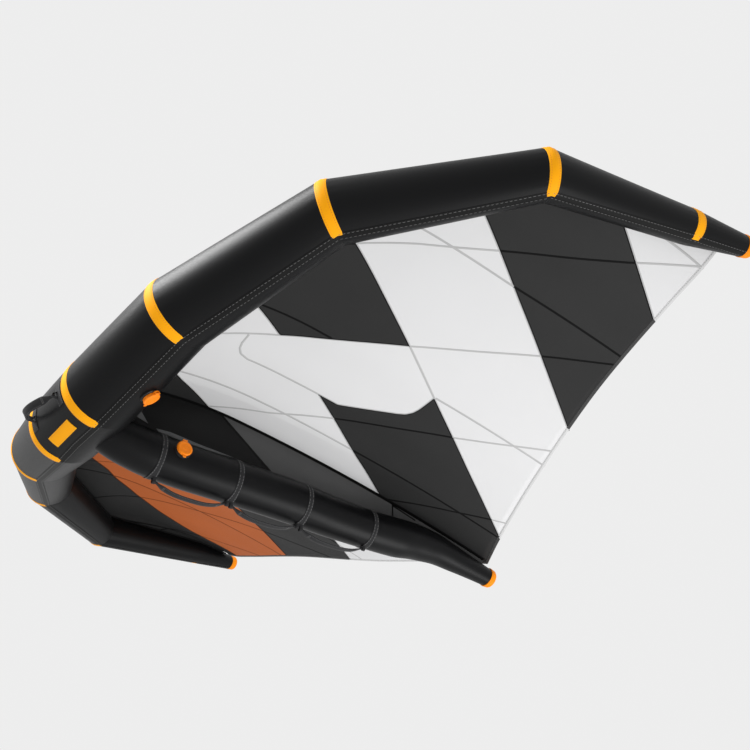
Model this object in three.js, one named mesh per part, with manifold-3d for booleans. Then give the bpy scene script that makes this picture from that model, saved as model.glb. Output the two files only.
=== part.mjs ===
// Inflatable hand-held wing: an inflated leading-edge tube, a central strut, two canopy halves,
// soft handles and two inflation valves. Millimetres. The nose points to -Y, the canopy is up (+Z),
// and the left half of the wing is +X. The parts are laid out from the strut's centreline, under the
// axis of the leading edge's centre panel; the finished wing's origin is the grip of its middle
// strut handle, where the hands hold it up.

import * as THREE from "three";
import Module from "manifold-3d";
import { mergeVertices } from "three/addons/utils/BufferGeometryUtils.js";

const wasm = await Module();
wasm.setup();

// ---------------------------------------------------------------- driving dimensions (mm)

const GAP = 0.5; // between pieces that touch on the real wing

// Mitred joints of the leading edge, left half: centre and tube radius.
const LE_JOINTS = [
  { x: 128, y: 0, z: 87, r: 130 },
  { x: 525, y: 56, z: 194, r: 122 },
  { x: 1046, y: 253, z: 328, r: 97 },
  { x: 1477, y: 671, z: 384, r: 76 },
  { x: 1551, y: 1219, z: 440, r: 56 },
  { x: 1594, y: 1457, z: 454, r: 33 },
];
const LE_SIDES = 24;
const CASING_WALL = 0.8;
const BLADDER_WALL = 0.25;
const BLADDER_SIDES = 12;
const BLADDER_END = 14; // from the last joint to the bladder's closed end

// Contrast bands over the joints, from the top of the tube round the front to the bottom.
const BAND_WIDTH = 36;
const BAND_THICK = 1.0;
const BAND_FROM = 90;
const BAND_TO = 270;
const TIP_CAP_SLEEVE = 26;
const TIP_CAP_WALL = 1.6;

// Strut stations: centre height and radius along Y.
const STRUT = [
  { y: 66, z: 39, r: 69 },
  { y: 150, z: 19, r: 75 },
  { y: 262, z: 5, r: 79 },
  { y: 410, z: 0, r: 79 },
  { y: 558, z: 0, r: 79 },
  { y: 700, z: -1, r: 79 },
  { y: 850, z: -4, r: 79 },
  { y: 1000, z: -13, r: 76 },
  { y: 1150, z: -16, r: 74 },
  { y: 1300, z: -12, r: 75 },
  { y: 1400, z: -5, r: 69 },
  { y: 1480, z: -6, r: 62 },
  { y: 1600, z: -25, r: 51 },
  { y: 1700, z: -44, r: 42 },
  { y: 1790, z: -62, r: 35 },
];
const STRUT_RING_Y = [262, 558, 850, 1150]; // webbing rings, also the ends of the handles
const RING_WIDTH = 28;
const RING_THICK = 1.6;
const END_CAP_SLEEVE = 20;

// Canopy: it leaves the tube a little aft of its top and is cambered.
const ATTACH_ANGLE = 75;
const ATTACH_LIFT = 1.6;
const CANOPY_THICK = 0.8;
const CAMBER = 0.055;
const CAMBER_PEAK = 0.3;
const TIP_ATTACH = 0.62; // how far along the last tube panel the canopy reaches
const TRAILING_EDGE = [
  [0, 1790, 2],
  [150, 1724, 45],
  [500, 1588, 130],
  [930, 1478, 270],
  [1290, 1424, 378],
  [1450, 1412, 430],
  [1530, 1405, 462],
];
const HEM_WIDTH = 15;
const HEM_THICK = 2.4;
const CANOPY_STEPS = 2; // per leading-edge panel
const CHORD_STEPS = [0, 0.04, 0.1, 0.2, 0.32, 0.46, 0.6, 0.75, 0.88, 1];
const HALF_GAP = 0.4; // from the middle plane to each canopy half

// Fin between the strut and the canopy.
const FIN_THICK = 2.0;
const FIN_SPLIT_TOP = 496;
const FIN_SPLIT_BOTTOM = 735;
const FIN_CLEAR = 1.5;

// Handles: flat webbing loops that swing about small lugs.
const LUG_DROP = 12; // from the tube to the hinge line
const PIN_R = 4;
const LUG_BORE_R = 5.4;
const LUG_HALF = 9;
const LUG_LEN = 12;
const HANDLE_SAG = 28;
const HANDLE_WIDTH = 28;
const HANDLE_THICK = 4.5;
const HANDLE_NECK = 46;
const FRONT_HALF = 98;
const FRONT_ANGLE = 196;
const FRONT_REACH = 58;
const FRONT_DROOP = 18;

// Valves.
const LE_VALVE = { along: 0.4, angle: -58, turn: 180 }; // turn: the cap's hinge about the bore
const STRUT_VALVE = { y: 327, angle: 8, turn: -90 };
const NECK_R = 15;
const NECK_HOLE_R = 16;
const NECK_LEN = 24;
const BORE_R = 12.4;
const FLANGE_R = 31;
const FLANGE_TOP = 3.6;
const COLLAR_R = 26;
const COLLAR_TOP = 10;
const CAP_R = 28;
const CAP_HEIGHT = 8;
const HINGE_OUT = 31.5;
const HINGE_UP = 14.2;
const HINGE_PIN_R = 1.2;
const EAR_HALF = 2.7;

// Plain sewn patch low on the centre panel.
const PATCH = { x0: -58, x1: 73, from: 233, to: 251 };

// ---------------------------------------------------------------- materials

const LOOKS = {
  dacron: { color: 0x15161a, roughness: 0.6, metalness: 0 },
  band: { color: 0xf9a016, roughness: 0.6, metalness: 0 },
  cap: { color: 0xfb8c0a, roughness: 0.45, metalness: 0 },
  canopy: { color: 0xdedede, roughness: 0.7, metalness: 0 },
  hem: { color: 0x8c8c8c, roughness: 0.8, metalness: 0 },
  fin: { color: 0x232327, roughness: 0.7, metalness: 0 },
  finRear: { color: 0x3a3a3e, roughness: 0.7, metalness: 0 },
  webbing: { color: 0x0d0d0f, roughness: 0.85, metalness: 0 },
  bladder: { color: 0xc9ced2, roughness: 0.35, metalness: 0 },
  valve: { color: 0x1b1b1d, roughness: 0.4, metalness: 0 },
  plunger: { color: 0x77797c, roughness: 0.5, metalness: 0 },
};

const wing = new THREE.Group();

function place(name, look, geometry, parent = wing) {
  const mesh = new THREE.Mesh(geometry, new THREE.MeshStandardMaterial(LOOKS[look]));
  mesh.name = name;
  parent.add(mesh);
  return mesh;
}

// ---------------------------------------------------------------- solid helpers

const radians = THREE.MathUtils.degToRad;
const vec = (x, y, z) => new THREE.Vector3(x, y, z);

function geometryFrom(points, triangles) {
  const geometry = new THREE.BufferGeometry();
  geometry.setAttribute("position", new THREE.Float32BufferAttribute(points, 3));
  geometry.setIndex(triangles);
  return geometry;
}

function signedVolume(points, triangles) {
  let sum = 0;
  const at = (i) => vec(points[3 * i], points[3 * i + 1], points[3 * i + 2]);
  for (let t = 0; t < triangles.length; t += 3) {
    sum += at(triangles[t]).dot(at(triangles[t + 1]).cross(at(triangles[t + 2])));
  }
  return sum;
}

function outward(points, triangles) {
  if (signedVolume(points, triangles) < 0) {
    for (let t = 0; t < triangles.length; t += 3) {
      [triangles[t], triangles[t + 1]] = [triangles[t + 1], triangles[t]];
    }
  }
  return geometryFrom(points, triangles);
}

// A skin of material between two grids of points of the same size. With `round`, each row closes
// on itself and the skin is a tube wall; otherwise it is a sheet with an edge all round.
function skin(outer, inner, round) {
  const rows = outer.length;
  const cols = outer[0].length;
  const points = [];
  for (const grid of [outer, inner]) {
    for (const row of grid) {
      for (const p of row) points.push(p.x, p.y, p.z);
    }
  }
  const half = rows * cols;
  const id = (side, r, c) => side * half + r * cols + (c % cols);
  const triangles = [];
  const quad = (a, b, c, d) => triangles.push(a, b, c, a, c, d);
  const strips = round ? cols : cols - 1;
  for (let r = 0; r < rows - 1; r++) {
    for (let c = 0; c < strips; c++) {
      quad(id(0, r, c), id(0, r, c + 1), id(0, r + 1, c + 1), id(0, r + 1, c));
      quad(id(1, r, c), id(1, r + 1, c), id(1, r + 1, c + 1), id(1, r, c + 1));
    }
  }
  for (let c = 0; c < strips; c++) {
    quad(id(0, 0, c), id(1, 0, c), id(1, 0, c + 1), id(0, 0, c + 1));
    quad(id(0, rows - 1, c), id(0, rows - 1, c + 1), id(1, rows - 1, c + 1), id(1, rows - 1, c));
  }
  if (!round) {
    const last = cols - 1;
    for (let r = 0; r < rows - 1; r++) {
      quad(id(0, r, 0), id(0, r + 1, 0), id(1, r + 1, 0), id(1, r, 0));
      quad(id(0, r, last), id(1, r, last), id(1, r + 1, last), id(0, r + 1, last));
    }
  }
  return outward(points, triangles);
}

// A solid lofted through rings of points, closed by a fan at each end.
function loft(rows) {
  const cols = rows[0].length;
  const points = rows.flat().flatMap((p) => [p.x, p.y, p.z]);
  const triangles = [];
  for (let r = 0; r < rows.length - 1; r++) {
    for (let c = 0; c < cols; c++) {
      const d = (c + 1) % cols;
      const a = r * cols;
      const b = a + cols;
      triangles.push(a + c, a + d, b + d, a + c, b + d, b + c);
    }
  }
  for (const r of [0, rows.length - 1]) {
    const middle = rows[r].reduce((s, p) => s.add(p), vec(0, 0, 0)).divideScalar(cols);
    const m = points.length / 3;
    points.push(middle.x, middle.y, middle.z);
    for (let c = 0; c < cols; c++) {
      const a = r * cols + c;
      const b = r * cols + ((c + 1) % cols);
      triangles.push(...(r === 0 ? [m, b, a] : [m, a, b]));
    }
  }
  return outward(points, triangles);
}

function toManifold(geometry) {
  const bare = geometry.clone();
  bare.deleteAttribute("normal");
  bare.deleteAttribute("uv");
  const merged = mergeVertices(bare, 1e-4);
  return new wasm.Manifold(new wasm.Mesh({
    numProp: 3,
    vertProperties: new Float32Array(merged.attributes.position.array),
    triVerts: new Uint32Array(merged.index.array),
  }));
}

function toGeometry(solid) {
  const mesh = solid.getMesh();
  return geometryFrom(Array.from(mesh.vertProperties), Array.from(mesh.triVerts));
}

function union(...geometries) {
  return toGeometry(geometries.map(toManifold).reduce((a, b) => a.add(b)));
}

function cut(geometry, ...tools) {
  return toGeometry(tools.map(toManifold).reduce((a, b) => a.subtract(b), toManifold(geometry)));
}

// A solid turned about +Z from a profile of (radius, height) points.
function turned(profile, sides) {
  const geometry = new THREE.LatheGeometry(profile, sides);
  geometry.rotateX(Math.PI / 2);
  geometry.deleteAttribute("normal");
  geometry.deleteAttribute("uv");
  const merged = mergeVertices(geometry, 1e-4);
  const index = merged.index.array;
  const kept = [];
  for (let t = 0; t < index.length; t += 3) {
    const [a, b, c] = [index[t], index[t + 1], index[t + 2]];
    if (a !== b && b !== c && a !== c) kept.push(a, b, c);
  }
  return outward(Array.from(merged.attributes.position.array), kept);
}

// A cylinder between two heights on +Z.
function post(radius, low, high, sides = 16) {
  const geometry = new THREE.CylinderGeometry(radius, radius, high - low, sides);
  geometry.rotateX(Math.PI / 2);
  geometry.translate(0, 0, (low + high) / 2);
  return geometry;
}

function block(x0, x1, y0, y1, z0, z1) {
  const geometry = new THREE.BoxGeometry(x1 - x0, y1 - y0, z1 - z0);
  geometry.translate((x0 + x1) / 2, (y0 + y1) / 2, (z0 + z1) / 2);
  return geometry;
}

function mirrored(rows) {
  return rows.map((row) => row.map((p) => vec(-p.x, p.y, p.z)));
}

// ---------------------------------------------------------------- leading-edge tube

// The whole chain of joints, from the right tip to the left tip.
const chain = [
  ...LE_JOINTS.map((j) => ({ ...j, x: -j.x })).reverse(),
  ...LE_JOINTS,
].map((j) => ({ c: vec(j.x, j.y, j.z), r: j.r }));

const MIDDLE = LE_JOINTS.length - 1; // the centre panel runs from this joint to the next

// Each joint lies in the plane that halves the angle between its two panels. Its angles count
// from aft (0), over the top (90), to the front (180).
chain.forEach((joint, i) => {
  const before = chain[Math.max(i - 1, 0)].c;
  const after = chain[Math.min(i + 1, chain.length - 1)].c;
  const into = joint.c.clone().sub(before).normalize();
  const away = after.clone().sub(joint.c).normalize();
  const along = into.add(away).normalize();
  joint.along = along;
  joint.aft = vec(0, 1, 0).addScaledVector(along, -along.y).normalize();
  joint.up = new THREE.Vector3().crossVectors(along, joint.aft).normalize();
  if (joint.up.z < 0) joint.up.negate();
});

function jointPoint(joint, degrees, extra = 0) {
  const a = radians(degrees);
  return joint.c.clone()
    .addScaledVector(joint.aft, (joint.r + extra) * Math.cos(a))
    .addScaledVector(joint.up, (joint.r + extra) * Math.sin(a));
}

// A point on panel i, a fraction of the way from its first joint to its second.
function panelPoint(i, fraction, degrees, extra = 0) {
  const a = jointPoint(chain[i], degrees, extra);
  return a.lerp(jointPoint(chain[i + 1], degrees, extra), fraction);
}

function panelLength(i) {
  return chain[i].c.distanceTo(chain[i + 1].c);
}

function angles(sides) {
  return Array.from({ length: sides }, (_, k) => (360 * k) / sides);
}

function panelRow(i, fraction, extra, sides = LE_SIDES) {
  return angles(sides).map((a) => panelPoint(i, fraction, a, extra));
}

function panelSkin(i) {
  const inset = GAP / 2 / panelLength(i);
  const ends = [inset, 1 - inset];
  return skin(
    ends.map((f) => panelRow(i, f, 0)),
    ends.map((f) => panelRow(i, f, -CASING_WALL)),
    true,
  );
}

// A strip over the tube from one place to another; a place is [panel, fraction].
function tubeStrip(places, from, to, lift, thick, step = 15) {
  const list = [];
  for (let a = from; a <= to + 1e-6; a += step) list.push(a);
  const rows = (extra) => places.map(([i, f]) => list.map((a) => panelPoint(i, f, a, extra)));
  return skin(rows(lift + thick), rows(lift), false);
}

// The solid inside the tube at a given offset from its surface.
function tubeCore(extra, endBack, sides) {
  const last = chain.length - 2;
  const back = endBack / panelLength(0);
  const rows = [panelRow(0, back, extra, sides)];
  for (let i = 1; i <= last; i++) rows.push(panelRow(i, 0, extra, sides));
  rows.push(panelRow(last, 1 - back, extra, sides));
  return loft(rows);
}

// A local frame on a tube: +Z is the outward normal and +X runs along the tube.
function seat(point, normal, along) {
  const y = new THREE.Vector3().crossVectors(normal, along).normalize();
  const x = new THREE.Vector3().crossVectors(y, normal).normalize();
  return new THREE.Matrix4().makeBasis(x, y, normal).setPosition(point);
}

const valvePanel = MIDDLE + 1;
const leValveSeat = (() => {
  const a = chain[valvePanel];
  const b = chain[valvePanel + 1];
  const along = b.c.clone().sub(a.c).normalize();
  const axisPoint = a.c.clone().lerp(b.c, LE_VALVE.along);
  const surface = panelPoint(valvePanel, LE_VALVE.along, LE_VALVE.angle);
  const offset = surface.sub(axisPoint);
  offset.addScaledVector(along, -offset.dot(along));
  const radius = offset.length();
  const normal = offset.clone().normalize();
  return { matrix: seat(axisPoint.clone().addScaledVector(normal, radius), normal, along), radius };
})();

const leNeckHole = post(NECK_HOLE_R, -60, 20).applyMatrix4(leValveSeat.matrix);

function panelName(i) {
  if (i === MIDDLE) return "le_panel_centre";
  return i > MIDDLE ? `le_panel_left_${i - MIDDLE}` : `le_panel_right_${MIDDLE - i}`;
}

for (let i = 0; i < chain.length - 1; i++) {
  const wall = panelSkin(i);
  place(panelName(i), "dacron", i === valvePanel ? cut(wall, leNeckHole) : wall);
}

for (let i = 1; i < chain.length - 1; i++) {
  const half = BAND_WIDTH / 2;
  const places = [[i - 1, 1 - half / panelLength(i - 1)], [i, 0], [i, half / panelLength(i)]];
  const side = i > MIDDLE ? "left" : "right";
  const number = i > MIDDLE ? i - MIDDLE : MIDDLE + 1 - i;
  place(
    `le_band_${side}_${number}`,
    "band",
    tubeStrip(places, BAND_FROM, BAND_TO, GAP, BAND_THICK),
  );
}

const leBladderOffset = -CASING_WALL - GAP;
place("le_bladder", "bladder", cut(
  tubeCore(leBladderOffset, BLADDER_END, BLADDER_SIDES),
  tubeCore(leBladderOffset - BLADDER_WALL, BLADDER_END + 2, BLADDER_SIDES),
  leNeckHole,
));

// A domed cap over a tube's end: sleeve, wall and dome turned about +Z, dome up.
function domeCap(endRadius, sleeveRadius, sleeve, wall) {
  const clear = 1.0;
  const inner = endRadius + clear;
  const flare = sleeveRadius + clear;
  const profile = [];
  const dome = 4;
  for (let k = 0; k <= dome; k++) {
    const a = (Math.PI / 2) * (1 - k / dome);
    const r = (inner + wall) * Math.cos(a);
    const z = 0.8 + wall + 0.45 * inner * Math.sin(a);
    profile.push(new THREE.Vector2(k === 0 ? 0 : r, z));
  }
  profile.push(new THREE.Vector2(flare + wall, -sleeve));
  profile.push(new THREE.Vector2(flare, -sleeve));
  profile.push(new THREE.Vector2(inner, 0.8));
  profile.push(new THREE.Vector2(0, 0.8));
  return turned(profile.reverse(), 16);
}

for (const [side, end, panel] of [["right", 0, 0], ["left", chain.length - 1, chain.length - 2]]) {
  const joint = chain[end];
  const neighbour = side === "left" ? chain[end - 1] : chain[1];
  const outwardDir = joint.c.clone().sub(neighbour.c).normalize();
  const slope = (neighbour.r - joint.r) / panelLength(panel);
  const cap = domeCap(joint.r, joint.r + slope * TIP_CAP_SLEEVE, TIP_CAP_SLEEVE, TIP_CAP_WALL);
  cap.applyMatrix4(seat(joint.c, outwardDir, vec(0, 0, 1)));
  place(`tip_cap_${side}`, "cap", cap);
}

place("le_centre_patch", "band", tubeStrip(
  [
    [MIDDLE, 0.5 + PATCH.x0 / panelLength(MIDDLE)],
    [MIDDLE, 0.5 + PATCH.x1 / panelLength(MIDDLE)],
  ],
  PATCH.from,
  PATCH.to,
  1.2,
  BAND_THICK,
  (PATCH.to - PATCH.from) / 4,
));

// ---------------------------------------------------------------- strut

function strutAt(y) {
  const k = STRUT.slice(1, -1).filter((s) => s.y <= y).length;
  const a = STRUT[k];
  const b = STRUT[k + 1];
  const t = (y - a.y) / (b.y - a.y);
  return { z: a.z + (b.z - a.z) * t, r: a.r + (b.r - a.r) * t };
}

function strutRow(y, extra, sides = LE_SIDES) {
  const { z, r } = strutAt(y);
  return angles(sides).map((a) => {
    const t = radians(a);
    return vec((r + extra) * Math.cos(t), y, z + (r + extra) * Math.sin(t));
  });
}

const strutFront = STRUT[0].y;
const strutEnd = STRUT[STRUT.length - 1].y;
const strutJoin = STRUT_RING_Y[3];
const leSaddle = tubeCore(GAP, 0, LE_SIDES);
const stationsBetween = (a, b) => [a, ...STRUT.map((s) => s.y).filter((y) => y > a && y < b), b];

const strutValveSeat = (() => {
  const { z, r } = strutAt(STRUT_VALVE.y);
  const a = radians(STRUT_VALVE.angle);
  const normal = vec(Math.cos(a), 0, Math.sin(a));
  const point = vec(0, STRUT_VALVE.y, z).addScaledVector(normal, r);
  return { matrix: seat(point, normal, vec(0, 1, 0)), radius: r };
})();
const strutNeckHole = post(NECK_HOLE_R, -60, 20).applyMatrix4(strutValveSeat.matrix);

function strutSkin(from, to) {
  const list = stationsBetween(from, to);
  return skin(
    list.map((y) => strutRow(y, 0)),
    list.map((y) => strutRow(y, -CASING_WALL)),
    true,
  );
}

place("strut_casing", "dacron", cut(
  strutSkin(strutFront, strutJoin - GAP / 2),
  leSaddle,
  strutNeckHole,
));
place("strut_tail_casing", "dacron", strutSkin(strutJoin + GAP / 2, strutEnd));

function strutCore(extra, from, to) {
  return loft(stationsBetween(from, to).map((y) => strutRow(y, extra, BLADDER_SIDES)));
}

const strutBladderOffset = -CASING_WALL - GAP;
const strutBladderFront = 150;
place("strut_bladder", "bladder", cut(
  strutCore(strutBladderOffset, strutBladderFront, strutEnd - BLADDER_END),
  strutCore(strutBladderOffset - BLADDER_WALL, strutBladderFront + 1, strutEnd - BLADDER_END - 1),
  strutNeckHole,
));

{
  const end = STRUT[STRUT.length - 1];
  const before = STRUT[STRUT.length - 2];
  const run = end.y - before.y;
  const direction = vec(0, end.y - before.y, end.z - before.z).normalize();
  const slope = (before.r - end.r) / run;
  const cap = domeCap(end.r + 1, end.r + 1.8 + slope * END_CAP_SLEEVE, END_CAP_SLEEVE, TIP_CAP_WALL);
  cap.applyMatrix4(seat(vec(0, end.y + 6, end.z - 0.9), direction, vec(1, 0, 0)));
  place("strut_end_cap", "cap", cap);
}

// ---------------------------------------------------------------- strut rings and handles

// A lug that a handle's end turns in: a small block with a bore along Y.
function lug(y0, y1, axisZ, topZ) {
  const body = block(-LUG_HALF, LUG_HALF, y0, y1, axisZ - LUG_HALF, topZ);
  const bore = post(LUG_BORE_R, y0 - 1, y1 + 1, 16);
  bore.rotateX(-Math.PI / 2);
  bore.translate(0, 0, axisZ);
  return cut(body, bore);
}

// The hinge line of handle k, level and clear of the lower of its two rings.
const handleHingeZ = (k) => Math.min(...[STRUT_RING_Y[k], STRUT_RING_Y[k + 1]].map((y) => {
  const { z, r } = strutAt(y);
  return z - r - LUG_DROP;
}));

STRUT_RING_Y.forEach((y, k) => {
  const ys = [y - RING_WIDTH / 2, y, y + RING_WIDTH / 2];
  let ring = skin(
    ys.map((v) => strutRow(v, GAP + RING_THICK)),
    ys.map((v) => strutRow(v, GAP)),
    true,
  );
  const top = strutAt(y).z - strutAt(y).r - GAP - 0.6;
  const [near, far] = [y - RING_WIDTH / 2, y + RING_WIDTH / 2];
  if (k > 0) ring = union(ring, lug(near, near + LUG_LEN, handleHingeZ(k - 1), top));
  if (k < 3) ring = union(ring, lug(far - LUG_LEN, far, handleHingeZ(k), top));
  place(`strut_ring_${k + 1}`, "webbing", ring);
});

// A flat webbing loop in its own frame: the hinge line is X, the loop hangs to -Y and the webbing's
// width is along Z. Round pins on the hinge line end it.
function handleLoop(length, reach, pinLength) {
  const half = length / 2;
  const neck = HANDLE_NECK;
  const spine = new THREE.CurvePath();
  const start = new THREE.Vector2(-half, 0);
  const left = new THREE.Vector2(-half + neck, -reach);
  const right = new THREE.Vector2(half - neck, -reach);
  const stop = new THREE.Vector2(half, 0);
  const bow = neck * 0.55;
  const bend = (a, b, c, d) => spine.add(new THREE.CubicBezierCurve(a, b, c, d));
  bend(start, new THREE.Vector2(-half + bow, 0), new THREE.Vector2(left.x - bow, left.y), left);
  spine.add(new THREE.LineCurve(left, right));
  bend(right, new THREE.Vector2(right.x + bow, right.y), new THREE.Vector2(half - bow, 0), stop);

  const ribbon = (from, to, steps, width) => {
    const upper = [];
    const lower = [];
    for (let k = 0; k <= steps; k++) {
      const u = from + ((to - from) * k) / steps;
      const p = spine.getPoint(u);
      const t = spine.getTangent(u);
      const n = new THREE.Vector2(-t.y, t.x).multiplyScalar(HANDLE_THICK / 2);
      upper.push(p.clone().add(n));
      lower.push(p.clone().sub(n));
    }
    const outline = new THREE.Shape([...upper, ...lower.reverse()]);
    const geometry = new THREE.ExtrudeGeometry(outline, { depth: width, bevelEnabled: false });
    geometry.translate(0, 0, -width / 2);
    return geometry;
  };

  const total = spine.getLength();
  const edge = neck / total;
  const pin = (x0, x1) => {
    const geometry = post(PIN_R, x0, x1, 12);
    geometry.rotateY(Math.PI / 2);
    return geometry;
  };
  return union(
    ribbon(0, 1, 18, 2 * PIN_R - 1),
    ribbon(edge * 0.95, 1 - edge * 0.95, 12, HANDLE_WIDTH),
    pin(-half - pinLength, -half + 4),
    pin(half - 4, half + pinLength),
  );
}

for (let k = 0; k < 3; k++) {
  const from = STRUT_RING_Y[k] + RING_WIDTH / 2 + 3;
  const to = STRUT_RING_Y[k + 1] - RING_WIDTH / 2 - 3;
  const loop = handleLoop(to - from, HANDLE_SAG, LUG_LEN);
  const hang = new THREE.Matrix4().makeBasis(vec(0, 1, 0), vec(0, 0, 1), vec(1, 0, 0));
  loop.applyMatrix4(hang.setPosition(0, (from + to) / 2, handleHingeZ(k)));
  place(`strut_handle_${k + 1}`, "webbing", loop);
}

// ---------------------------------------------------------------- front handle

{
  const centre = vec(0, LE_JOINTS[0].y, LE_JOINTS[0].z);
  const a = radians(FRONT_ANGLE);
  const normal = vec(0, Math.cos(a), Math.sin(a));
  const hinge = centre.addScaledVector(normal, LE_JOINTS[0].r + LUG_DROP);
  const span = 2 * (FRONT_HALF - LUG_LEN - 3);
  for (const [side, sign] of [["left", 1], ["right", -1]]) {
    const places = [FRONT_HALF - LUG_LEN - 8, FRONT_HALF + 6]
      .map((x) => 0.5 + (sign * x) / panelLength(MIDDLE))
      .sort((p, q) => p - q)
      .map((f) => [MIDDLE, f]);
    const base = tubeStrip(places, FRONT_ANGLE - 14, FRONT_ANGLE + 14, 0.6, 1.8, 7);
    const ear = lug(FRONT_HALF - LUG_LEN, FRONT_HALF, 0, LUG_DROP - 1.4);
    const turn = new THREE.Matrix4().makeBasis(
      new THREE.Vector3().crossVectors(vec(sign, 0, 0), normal.clone().negate()),
      vec(sign, 0, 0),
      normal.clone().negate(),
    );
    ear.applyMatrix4(turn.setPosition(hinge));
    place(`front_handle_tab_${side}`, "webbing", union(base, ear));
  }
  const droop = radians(FRONT_ANGLE + FRONT_DROOP);
  const out = vec(0, Math.cos(droop), Math.sin(droop));
  const loop = handleLoop(span, FRONT_REACH, LUG_LEN);
  const turn = new THREE.Matrix4().makeBasis(
    vec(1, 0, 0),
    out.clone().negate(),
    new THREE.Vector3().crossVectors(vec(1, 0, 0), out.clone().negate()),
  );
  loop.applyMatrix4(turn.setPosition(hinge));
  place("front_handle", "webbing", loop);
}

// ---------------------------------------------------------------- canopy

const trailing = new THREE.CatmullRomCurve3(TRAILING_EDGE.map((p) => vec(...p)), false, "centripetal");

// Points of the canopy's front edge on the left half, at whole station numbers 0 to 6.
const frontEdge = (() => {
  const at = (panel, fraction) => panelPoint(panel, fraction, ATTACH_ANGLE, ATTACH_LIFT);
  const list = [at(MIDDLE, 0.5)];
  for (let i = MIDDLE + 1; i < chain.length - 1; i++) list.push(at(i, 0));
  list.push(at(chain.length - 2, TIP_ATTACH));
  return list;
})();

function camber(v) {
  const p = CAMBER_PEAK;
  if (v < p) return (2 * p * v - v * v) / (p * p);
  return (1 - 2 * p + 2 * p * v - v * v) / ((1 - p) * (1 - p));
}

// The canopy's surface: s is the station (0 in the middle, 6 at the tip), v runs from the tube to
// the trailing edge.
function canopyPoint(s, v) {
  const k = Math.min(Math.floor(s), frontEdge.length - 2);
  const front = frontEdge[k].clone().lerp(frontEdge[k + 1], s - k);
  const back = trailing.getPoint(s / (frontEdge.length - 1));
  const chord = front.distanceTo(back);
  const point = front.lerp(back, v);
  point.z += CAMBER * chord * camber(v);
  if (s === 0) point.x = 0;
  point.x += HALF_GAP;
  return point;
}

function canopyNormal(s, v) {
  const e = 0.01;
  const last = frontEdge.length - 1;
  const ds = canopyPoint(Math.min(s + e, last), v).sub(canopyPoint(Math.max(s - e, 0), v));
  const dv = canopyPoint(s, Math.min(v + e, 1)).sub(canopyPoint(s, Math.max(v - e, 0)));
  const normal = new THREE.Vector3().crossVectors(ds, dv).normalize();
  return normal.z < 0 ? normal.negate() : normal;
}

function sheet(stations, chordAt, thick) {
  const grid = (offset) => stations.map((s) => chordAt(s).map((v) => {
    const normal = canopyNormal(s, v);
    if (s === 0) normal.setX(0).normalize();
    return canopyPoint(s, v).addScaledVector(normal, offset);
  }));
  return [grid(thick / 2), grid(-thick / 2)];
}

const stations = [];
for (let k = 0; k <= (frontEdge.length - 1) * CANOPY_STEPS; k++) stations.push(k / CANOPY_STEPS);

const chordOf = (s) => canopyPoint(s, 0).distanceTo(canopyPoint(s, 1));
const hemStart = (s) => 1 - HEM_WIDTH / chordOf(s);
const sheetChord = (s) => CHORD_STEPS.map((v) => v * (hemStart(s) - GAP / chordOf(s)));
const hemChord = (s) => [hemStart(s), 1];

for (const [side, flip] of [["left", false], ["right", true]]) {
  const [top, bottom] = sheet(stations, sheetChord, CANOPY_THICK);
  const [hemTop, hemBottom] = sheet(stations, hemChord, HEM_THICK);
  const sided = (rows) => (flip ? mirrored(rows) : rows);
  place(`canopy_${side}`, "canopy", skin(sided(top), sided(bottom), false));
  place(`trailing_hem_${side}`, "hem", skin(sided(hemTop), sided(hemBottom), false));
}

// ---------------------------------------------------------------- fin

// The canopy's underside on the middle plane, facet by facet, as (y, z) points.
const underside = sheetChord(0).map((v) => {
  const normal = canopyNormal(0, v).setX(0).normalize();
  const p = canopyPoint(0, v).addScaledVector(normal, -CANOPY_THICK / 2);
  return new THREE.Vector2(p.y, p.z - FIN_CLEAR);
});

function undersideAt(y) {
  const k = underside.slice(1, -1).filter((p) => p.x <= y).length;
  const [a, b] = [underside[k], underside[k + 1]];
  return a.clone().lerp(b, (y - a.x) / (b.x - a.x));
}

function finTop(y0, y1) {
  const inside = underside.filter((p) => p.x > y0 && p.x < y1);
  return [undersideAt(y0), ...inside, undersideAt(y1)];
}

function finBottom(y0, y1) {
  const clear = GAP + RING_THICK + FIN_CLEAR;
  return stationsBetween(y0, y1).map((y) => {
    const { z, r } = strutAt(y);
    return new THREE.Vector2(y, z + r + clear);
  });
}

function finPlate(outline) {
  const geometry = new THREE.ExtrudeGeometry(new THREE.Shape(outline), {
    depth: FIN_THICK,
    bevelEnabled: false,
  });
  const turn = new THREE.Matrix4().makeBasis(vec(0, 1, 0), vec(0, 0, 1), vec(1, 0, 0));
  return geometry.applyMatrix4(turn.setPosition(-FIN_THICK / 2, 0, 0));
}

{
  const centre = new THREE.Vector2(LE_JOINTS[0].y, LE_JOINTS[0].z);
  const nose = [68, 50, 34, 20, 10].map((a) => {
    const t = radians(a);
    const r = LE_JOINTS[0].r + FIN_CLEAR;
    return new THREE.Vector2(centre.x + r * Math.cos(t), centre.y + r * Math.sin(t));
  });
  const front = [
    ...nose,
    ...finBottom(nose[nose.length - 1].x + 4, FIN_SPLIT_BOTTOM - GAP),
    ...finTop(nose[0].x + 6, FIN_SPLIT_TOP - GAP).reverse(),
  ];
  const finEnd = 1760;
  const rear = [
    ...finBottom(FIN_SPLIT_BOTTOM + GAP, finEnd),
    ...finTop(FIN_SPLIT_TOP + GAP, finEnd).reverse(),
  ];
  place("fin_front", "fin", finPlate(front));
  place("fin_rear", "finRear", finPlate(rear));
}

// ---------------------------------------------------------------- valves

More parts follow.
